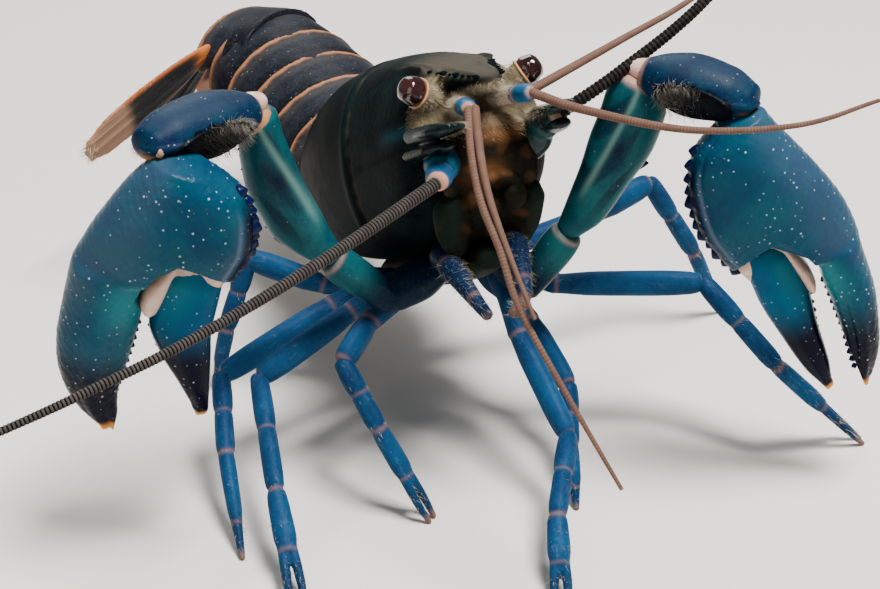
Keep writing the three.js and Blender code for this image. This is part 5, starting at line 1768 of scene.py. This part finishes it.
    def arm_pieces(self, word: str) -> Pieces:
        """Hip, ischium, merus and carpus."""
        sign = self.side.value
        hip = Axes.between(on_body(sign * 4.6, -9.2, -4.6), self.base, UP)
        short = Axes.between(self.base, self.ischium, UP)

        def short_masks(places: Array) -> Masks:
            """Pink joint bands and painted shade over the hip and the arm's root."""
            u = short.local(places)[:, 0] / short.length
            # tone: painted shade under the body, darkest at the hip
            return {"rim": 0.35 * bell(u, 0.97, 0.03), "tone": 0.92 * fade(0.75 - u, 0, 0.6)}

        ischium = Casting(
            word + "_arm_root",
            [limb(hip, [[0.02, 2.2, 2.2], [0.4, 2.9, 2.8], [0.9, 2.4, 2.3]]),
             limb(short, [[-0.05, 2.0, 2.0], [0.3, 2.3, 2.2], [0.75, 2.5, 2.4], [0.95, 2.3, 2.2]])],
            "arm", "arm_teal", (word + "_cheliped_ischium",), voxel=0.27, local=short.local,
            masks=short_masks).make(self.finishes)
        upper = Axes.between(self.ischium, self.elbow, self.axes.side)

        def merus_masks(places: Array) -> Masks:
            """A painted highlight streak, navy patches and a pink end."""
            u, w, c = upper.local(places).T
            u = u / upper.length
            patch = np.sin(u * 9 + w * 0.7) * np.sin(w * 1.3 + c + u * 4)
            dark = np.maximum(fade(patch, 0.2, 0.6) * fade(u, 0.1, 0.4) * 0.7,
                              0.95 * bell(u, 0.62, 0.13) * bell(w, -0.6, 1.7))
            # streak: a painted highlight along the upper arm, put in the glow mask
            streak = 0.6 * bell(w, 1.5 - 1.4 * u, 0.35) * fade(u, 0.2, 0.4)
            return {"rim": np.maximum(0.85 * fade(u, 0.95, 1.0), 0.5 * fade(0.02 - u, 0, 0.04)), "tone": dark,
                    "glow": streak}

        merus = Casting(word + "_upper_arm", [limb(upper, self.merus, 48, 60)], "arm", "arm_teal",
                        (word + "_cheliped_merus",), voxel=0.25, local=upper.local, masks=merus_masks,
                        hairy=lambda p: 0.25 * bell(upper.local(p)[:, 0] / upper.length, 0.97,
                                                    0.04)).make(self.finishes)
        lower = Axes.between(self.carpus[0], self.carpus[1], UP)
        dent = (lower.length * 0.5, -1.8, sign * 4.9), (lower.length * 0.42, 3.3, 3.3)

        def dent_mask(places: Array) -> Array:
            """1 inside the wrist's hollow and 0 outside."""
            local = lower.local(places)
            ragged = 0.05 * np.sin(local[:, 0] * 2.9 + np.sin(local[:, 0] * 5.1))
            return fade(1.16 + ragged - np.linalg.norm((local - dent[0]) / np.array(dent[1]), axis=1), 0, 0.1)

        def carpus_relief(places: Array, normals: Array) -> Array:
            """A hollow below and a shallow groove on top."""
            u, w, c = lower.local(places).T
            u = u / lower.length
            keel = 0.4 * bell(w, 0.6 - 1.2 * np.abs(u - 0.4), 0.4) * fade(u, 0.1, 0.3) * (c * sign > 0)
            raised = places + normals * keel[:, None]
            return hollowed(raised, lower, *dent) - places

        def carpus_masks(places: Array) -> Masks:
            """Painted shade in the hollow, pink ends and orange knuckles."""
            u, w, c = lower.local(places).T
            u = u / lower.length
            # tone: near-black painted shade fills the hollow, broken by a faint pattern
            return {"tone": (0.97 - 0.2 * fade(np.sin(u * 31) * np.sin(w * 3 + c), 0.2, 0.9))
                    * dent_mask(places),
                    "rim": 0.6 * fade(0.0 - u, 0, 0.05),
                    "tip": 0.9 * bell(u, 0.97, 0.05) * fade(-w, 0.6, 1.6), "glow": 0.5 * fade(w, 1.6, 3.0)}

        carpus = Casting(
            word + "_wrist",
            [limb(lower, [[-0.02, 2.2, 2.4], [0.14, 3.2, 3.4], [0.42, 4.0, 4.2], [0.74, 3.4, 3.9],
                          [0.95, 2.0, 2.6]], 56, 60)],
            "wrist", "claw_navy", (word + "_cheliped_carpus",), voxel=0.25, local=lower.local,
            relief=carpus_relief, masks=carpus_masks,
            hairy=lambda p: dent_mask(p) * fade(0.6 - lower.local(p)[:, 0] / lower.length, 0, 0.35)
        ).make(self.finishes)
        fuzz = coat(word + "_wrist_fuzz", carpus, self.trees, self.finishes["fuzz"], "claw_navy",
                    Density=2.2e7, Length=0.0013, Thickness=0.00003, Bend=0.0005,
                    Lean=(0.0, -0.3, -0.3), Seed=51)
        between = (self.elbow + np.array(self.carpus[0])) / 2
        elbow = ball(between + UP * 0.7, lower, (2.3, 1.5, 1.6))
        under = ball(between - UP * 1.4 + self.axes.side * 0.6, lower, (2.2, 1.9, 1.9))
        wrist = ball(self.axes.point(0.1, self.knuckle), self.axes, (0.7, 0.6, 0.9))
        joints = [Casting(word + "_elbow_skin", [elbow], "membrane", "arm_teal",
                          voxel=0.2).make(self.finishes),
                  Casting(word + "_elbow_underside", [under], "joint_brown", "arm_teal",
                          voxel=0.2).make(self.finishes),
                  Casting(word + "_wrist_skin", [wrist], "wrist_skin", "arm_teal",
                          voxel=0.2).make(self.finishes)]
        spikes = self.arm_spikes(word, upper)
        return [ischium, merus, carpus, fuzz, *joints, spikes]

    def arm_spikes(self, word: str, upper: Axes) -> bpy.types.Object:
        """Small tubercles in two rows along the upper arm, and a large one on each."""
        places, leans, sizes = [], [], []
        sunk = 0.88
        table = np.array([list(s) + [0.0] * (4 - len(s)) for s in self.merus], float)
        for angle, shares, size in ((200, (0.2, 0.32, 0.45, 0.58, 0.7, 0.82), 0.6),
                                    (155, (0.26, 0.4, 0.52, 0.64, 0.78), 0.5),
                                    (180, (0.2 if self.side is Side.RIGHT else 0.52,), 1.5)):
            for share in shares:
                _, a, b, bow = finer(table[:, 0], table, np.array([share]))[0]
                c, s = math.cos(math.radians(angle)), math.sin(math.radians(angle))
                places.append(upper.point(share * upper.length, bow + a * sunk * c, b * sunk * s))
                leans.append(c * upper.side + s * upper.across + upper.along * 0.4)
                sizes.append(size)
        row = grown(word + "_arm_tubercles",
                    path_mesh("arm_path", np.array(places), np.array(leans), np.array(sizes)),
                    self.trees.tubercles, Radius=0.00065, Height=0.001, Variation=0.15, Seed=17,
                    Material=self.finishes["teeth"])
        return wear(row, "arm_teal")


@dataclass
class WalkingLeg(SubAssembly):
    """One walking leg."""

    name: str = ""
    joints: Rows = ()
    pincer: bool = False
    seed: int = 1

    def build(self) -> Pieces:
        """Makes the upper and lower leg and the setae at its joints and end."""
        base, ischium, knee, ankle, foot = (np.array(p, float) for p in self.joints)
        hip = Axes.between(base, ischium, UP)
        thigh = Axes.between(ischium, knee, UP)
        shin = Axes.between(knee, ankle, UP)
        toe = Axes.between(ankle, foot, UP)

        def upper_masks(places: Array) -> Masks:
            """Pink bands at the joints and painted shade at the hip."""
            u = thigh.local(places)[:, 0]
            v = hip.local(places)[:, 0] / hip.length
            return {"rim": np.maximum(0.6 * bell(u, -0.1, 0.28) * (v > 0.5),
                                      0.65 * fade(u, thigh.length - 0.6, thigh.length - 0.1)),
                    # tone: painted shade on the hip, under the body
                    "tone": 0.5 * fade(0.7 - v, 0, 0.6) * (u < 0),
                    "glow": 0.35 * bell(u / thigh.length, 0.6, 0.3)}

        upper = Casting(
            self.name + "_thigh",
            [limb(hip, [[0.0, 1.9, 1.9], [0.25, 2.1, 2.0], [0.5, 1.6, 1.5], [0.97, 1.55, 1.45]], 28, 30),
             limb(thigh, [[-0.02, 1.35, 1.25], [0.08, 1.5, 1.35], [0.25, 1.75, 1.5], [0.7, 1.85, 1.5],
                          [0.9, 1.65, 1.4], [0.96, 1.4, 1.25]], 28, 40)],
            "leg", "leg_blue", (self.name + "_leg_upper",), voxel=0.24, smoothing=2,
            local=thigh.local, masks=upper_masks).make(self.finishes)
        skins = [limb(shin, [[0.0, 1.2, 1.2], [0.08, 1.4, 1.3], [0.3, 1.5, 1.4], [0.42, 1.4, 1.3],
                             [0.47, 1.22, 1.15], [0.52, 1.35, 1.25], [0.85, 1.4, 1.3],
                             [0.95, 1.25, 1.2]], 28, 44)]
        across = np.cross(foot - ankle, UP)
        if self.pincer:
            half = ankle + (foot - ankle) * 0.5
            hand = Axes.between(ankle, half, across)
            skins.append(limb(hand, [[-0.02, 1.05, 1.05], [0.1, 1.3, 1.15], [0.3, 1.4, 1.2],
                                     [0.75, 1.5, 1.2], [1, 1.2, 1.0]], 28, 30))
            for way in (-1, 1):
                finger = Axes.between(half + hand.side * way * 0.6, foot + hand.side * way * 0.7, across)
                skins.append(limb(finger, [[-0.1, 0.7, 0.7], [0.5, 0.6, 0.55, way * 0.2], [0.97, 0.36, 0.4]],
                                  20, 26))
        else:
            skins.append(limb(toe, [[-0.02, 1.05, 1.05], [0.1, 1.2, 1.1], [0.5, 1.1, 1.0],
                                    [0.62, 0.85, 0.8], [0.68, 0.78, 0.72], [0.97, 0.38, 0.4]], 24, 40))

        def lower_masks(places: Array) -> Masks:
            """Pink bands at the joints and a brown end."""
            u = shin.local(places)[:, 0]
            v = toe.local(places)[:, 0] / toe.length
            bands = np.maximum(0.45 * bell(u, shin.length * 0.47, 0.22) * (v < 0),
                               0.6 * bell(v * toe.length, -0.1, 0.34))
            split = 0.4 * bell(v, 0.5 if self.pincer else 0.65, 0.018)
            return {"rim": np.maximum(bands, split), "tip": 0.8 * fade(v, 0.86, 0.97),
                    "tone": 0.4 * fade(v, 0.5, 0.7) * (v < 0.9), "glow": 0.3 * bell(v, 0.25, 0.15)}

        def hairy(places: Array) -> Array:
            """Setae at the joints and thickly on the last length."""
            u = shin.local(places)[:, 0]
            v = toe.local(places)[:, 0] / toe.length
            low = fade(places[:, 2], 0.9, 1.6)
            middle = 0.12 * bell(u, shin.length * 0.5, 1.0) * (v < 0)
            return (low * (0.5 * fade(v, 0.55, 0.7) + 0.35 * bell(v, 0.0, 0.04)
                           + 0.06 * fade(v, 0.05, 0.2) + middle))

        lower = Casting(self.name + "_shin", skins, "leg", "leg_blue",
                        (self.name + "_leg_lower",), voxel=0.2, smoothing=2, local=shin.local,
                        masks=lower_masks, hairy=hairy).make(self.finishes)
        lean = tuple(float(v) for v in toe.along * 0.9)
        fringe = coat(self.name + "_leg_setae", lower, self.trees, self.finishes["setae"],
                      "leg_blue", Density=6e6, Length=0.0008, Thickness=0.00003, Bend=0.0002,
                      Lean=lean, Seed=self.seed)
        return [upper, lower, fringe]


@dataclass
class Studio:
    """Floor, camera and soft lights."""

    camera_place: tuple[float, float, float] = (-89.63, -225.57, 151.25)
    camera_right: tuple[float, float, float] = (0.9298, -0.3681, 0.0)
    camera_up: tuple[float, float, float] = (0.1773, 0.4479, 0.8763)
    focal: float = 1975.0
    width: float = 880.0
    sensor: float = 36.0

    def build(self) -> None:
        """Makes the floor, the camera and the lights."""
        self.floor()
        self.camera()
        self.lights()

    def floor(self) -> None:
        """A plain pale floor."""
        mesh = bpy.data.meshes.new("floor")
        reach = 3.0
        mesh.from_pydata([(-reach, -reach, 0), (reach, -reach, 0), (reach, reach, 0), (-reach, reach, 0)], [],
                         [(0, 1, 2, 3)])
        material, _ = new_finish("floor")
        mesh.materials.append(set_finish(material, {"Base Color": (0.78, 0.74, 0.68, 1), "Roughness": 0.9}))
        new_object("floor", mesh)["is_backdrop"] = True

    def camera(self) -> None:
        """The camera at the photograph's place."""
        data = bpy.data.cameras.new("camera")
        data.sensor_width = self.sensor
        data.lens = self.focal / self.width * self.sensor
        data.clip_start = 0.01
        data.clip_end = 20
        camera = bpy.data.objects.new("camera", data)
        bpy.context.scene.collection.objects.link(camera)
        right, up = np.array(self.camera_right), np.array(self.camera_up)
        turn = np.stack([right, up, np.cross(right, up)], axis=1)
        matrix = Matrix(turn.tolist()).to_4x4()
        matrix.translation = Vector(STANCE.to_frame(np.array(self.camera_place)))
        camera.matrix_world = matrix
        bpy.context.scene.camera = camera

    def lights(self) -> None:
        """A broad key light from above, fills on both sides and a soft world."""
        world = bpy.data.worlds.new("world")
        world.use_nodes = True
        background = world.node_tree.nodes["Background"]
        background.inputs["Color"].default_value = (0.86, 0.92, 1.0, 1)
        background.inputs["Strength"].default_value = 0.16
        bpy.context.scene.world = world
        low, high = (Vector(v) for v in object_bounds())
        middle = (low + high) / 2
        for name, place, size, power in (
                ("key", (0.12, -0.16, 0.55), 0.2, 9.5), ("fill", (-0.5, -0.35, 0.3), 0.5, 1.0),
                ("back", (0.1, 0.55, 0.4), 0.4, 2.2)):
            data = bpy.data.lights.new(name, "AREA")
            data.size = size
            data.energy = power
            lamp = bpy.data.objects.new(name, data)
            bpy.context.scene.collection.objects.link(lamp)
            lamp.location = middle + Vector(place)
            lamp.rotation_euler = (middle - lamp.location).to_track_quat("-Z", "Y").to_euler()


RIGHT_ANTENNA = ((-10.1, -23.8, 47.5), (-28.0, -32.2, 44.2), (-44.3, -38.5, 41.3),
                 (-56.6, -42.1, 39.5), (-68.0, -43.8, 37.3), (-86, -41, 31), (-102, -33, 22))
LEFT_ANTENNA = ((7.6, -20.5, 52.5), (16.3, -19.3, 56.3), (29.8, -15.9, 62.8), (46, -7, 72),
                (57, 7, 81), (61, 25, 88), (58, 45, 92))
RIGHT_STRANDS = (
    ((-4.0, -18.6, 54.3), (-6.0, -25.0, 50.4), (-6.9, -30.3, 46.9), (-6.6, -35.2, 43.1), (-6.0, -40.0, 37.4),
     (-2.8, -47.7, 28.6), (1.0, -54.7, 19.4)),
    ((-3.2, -18.8, 54.3), (-5.3, -26.0, 50.8), (-6.1, -31.1, 47.4), (-5.8, -36.6, 42.5), (-5.0, -42.1, 37.0)))
LEFT_STRANDS = (
    ((3.5, -20.5, 56.0), (8.1, -26.5, 55.3), (18.2, -34.7, 54.4), (30.1, -40.0, 55.3), (39.5, -42.2, 57.9)),
    ((3.7, -20.2, 56.1), (17.5, -16.7, 59.4), (28.9, -13.5, 62.1), (41, -8, 66)))
RIGHT_ARM = {
    "joints": ((-11.9, -10.6, 25.1), (-19.7, -10.5, 32.5), (-29.0, -11.6, 55.5),
               (-40.3, -23.0, 55.6), (-49.4, -14.6, 16.0)),
    "carpus": ((-30.4, -12.3, 55.6), (-45.3, -20.3, 56.8)),
    "merus": ((0.03, 2.0, 2.0), (0.14, 2.8, 2.6, -1.2), (0.3, 3.6, 3.0, -2.1),
              (0.52, 3.6, 3.2, -2.3), (0.76, 3.1, 3.3, -1.6), (0.93, 2.6, 2.9, -0.5)),
    "towards": (0.905, -0.325, -0.276),
    "palm": ((1, -4.0, 3.0, 3.2), (3, -5.4, 7.0, 4.3), (6, -7.0, 8.9, 4.9),
             (9.5, -8.4, 9.6, 5.3), (12.2, -9.4, 9.1, 5.2),
             (14.6, -10.1, 8.3, 4.9), (15.6, -10.4, 7.6, 4.6),
             (17.6, -10.8, -0.9, 4.3), (27, -10.7, -1.2, 3.6),
             (31.5, -10.1, -1.4, 3.1), (35.5, -8.6, -1.6, 2.5), (38.8, -6.2, -1.1, 1.8),
             (40.8, -3.9, -0.7, 1.1)),
    "palm_tip": (42.0, -0.3),
    "dactyl": ((13.6, 1.9, 6.3, 2.3), (16.4, 0.3, 7.4, 3.0), (23, -0.2, 7.6, 3.1),
               (27.5, 1.9, 8.4, 2.6), (31.3, 4.9, 9.1, 2.0), (34.6, 7.3, 9.7, 1.1)),
    "dactyl_tip": (36.4, 9.1),
}
LEFT_ARM = {
    "joints": ((7.4, -12.6, 24.3), (11.8, -15.4, 32.7), (19.0, -19.6, 55.4),
               (27.3, -31.1, 54.1), (44.2, -38.1, 14.2)),
    "carpus": ((19.8, -20.8, 56.0), (29.2, -31.3, 55.0)),
    "merus": ((0.03, 1.8, 2.0), (0.15, 2.7, 2.6, -0.8), (0.4, 3.4, 3.1, -1.2),
              (0.65, 4.2, 3.4, -1.4), (0.85, 4.2, 3.3, -1.0), (0.96, 3.0, 2.8, -0.3)),
    "towards": (-0.846, 0.332, -0.417),
    "palm": ((1, -2.6, 4.4, 3.2), (3, -3.1, 7.6, 4.3), (7, -4.6, 9.8, 4.9), (13, -6.6, 10.7, 5.3),
             (16.8, -7.5, 10.0, 5.1),
             (19.4, -7.7, 9.2, 4.9), (21.2, -7.7, 8.2, 4.6), (22.4, -7.5, -0.6, 4.2),
             (29, -7.1, -1.2, 3.5), (34, -6.1, -1.0, 2.9), (38.5, -4.7, -0.4, 2.1), (42, -2.7, 0.1, 1.2)),
    "palm_tip": (43.9, 0.2),
    "dactyl": ((18.4, 2.2, 7.0, 2.6), (20.5, 1.1, 7.4, 3.1), (25, 0.7, 7.4, 3.0),
               (32, 1.5, 6.5, 2.4), (37.8, 2.0, 5.4, 1.7), (40.8, 2.6, 4.3, 1.0)),
    "dactyl_tip": (42.2, 3.2),
    "peak": 2.0,
    "notch": 0.6,
    "knuckle": -0.2,
}
WALKING_LEGS = {
    "right_2": (True, ((-5.3, -6.2, 24.9), (-14.6, -10.2, 21.8), (-19.8, -14.6, 19.2),
                       (-17.2, -21.1, 12.1), (-12.0, -26.9, 0))),
    "right_3": (True, ((-5.8, -1.8, 22.5), (-15.5, -5.4, 21.0), (-29.4, -8.2, 15.3),
                       (-32.5, -24.6, 8.4), (-34.2, -38.8, 0))),
    "right_4": (False, ((-6.3, 2.6, 20.1), (-16.5, 0.1, 19.3), (-33.2, -2.9, 13.5),
                        (-35.7, -12.8, 7.5), (-37.8, -26.4, 0))),
    "right_5": (False, ((-6.3, 7.0, 17.8), (-14.3, 10.2, 17.2), (-23.7, 14.9, 20.9),
                        (-27.5, 14.4, 10.5), (-29.3, 16.2, 0))),
    "left_2": (True, ((5.7, -6.1, 25.2), (4.4, -16.8, 19.2), (5.5, -30.6, 11.3),
                      (-0.9, -41.4, 7.4), (-4.2, -50.7, 0))),
    "left_3": (True, ((6.2, -1.7, 22.8), (13.0, -10.0, 22.0), (31.3, -18.2, 22.6),
                      (37.7, -28.4, 13.6), (50.8, -31.4, 0))),
    "left_4": (False, ((7.2, 2.9, 20.0), (9.6, -9.4, 16.2), (10.3, -20.2, 12.0),
                       (8.4, -25.4, 6.0), (6.6, -31.8, 0))),
    "left_5": (False, ((6.7, 7.1, 18.1), (27.8, 6.9, 22.6), (35.9, 7.6, 25.6),
                       (43.5, 6.5, 13.0), (50.2, 8.7, 0))),
}


def main() -> None:
    """Builds the animal and the studio."""
    logging.basicConfig(level=logging.INFO, format="%(name)s %(message)s")
    Studio().build()
    finishes = Finishes()
    trees = GrowthTrees()
    pleon = Pleon(finishes, trees)
    parts: list[SubAssembly] = [
        Carapace(finishes, trees), Face(finishes, trees), pleon,
        TailFan(finishes, trees, hinge=pleon.hinges[5]),
        Head(finishes, trees, Side.RIGHT, RIGHT_ANTENNA, RIGHT_STRANDS),
        Head(finishes, trees, Side.LEFT, LEFT_ANTENNA, LEFT_STRANDS, (7.2, -24.4, 10.4),
             "dark_antenna", "dark_peduncle", 165),
        ClawArm(finishes, trees, Side.RIGHT, **RIGHT_ARM), ClawArm(finishes, trees, Side.LEFT, **LEFT_ARM),
    ]
    parts += [WalkingLeg(finishes, trees, name, joints, pincer, seed)
              for seed, (name, (pincer, joints)) in enumerate(WALKING_LEGS.items())]
    for part in parts:
        for piece in part.build():
            LOG.info("made %s", piece.name)


if __name__ == "__main__":
    main()
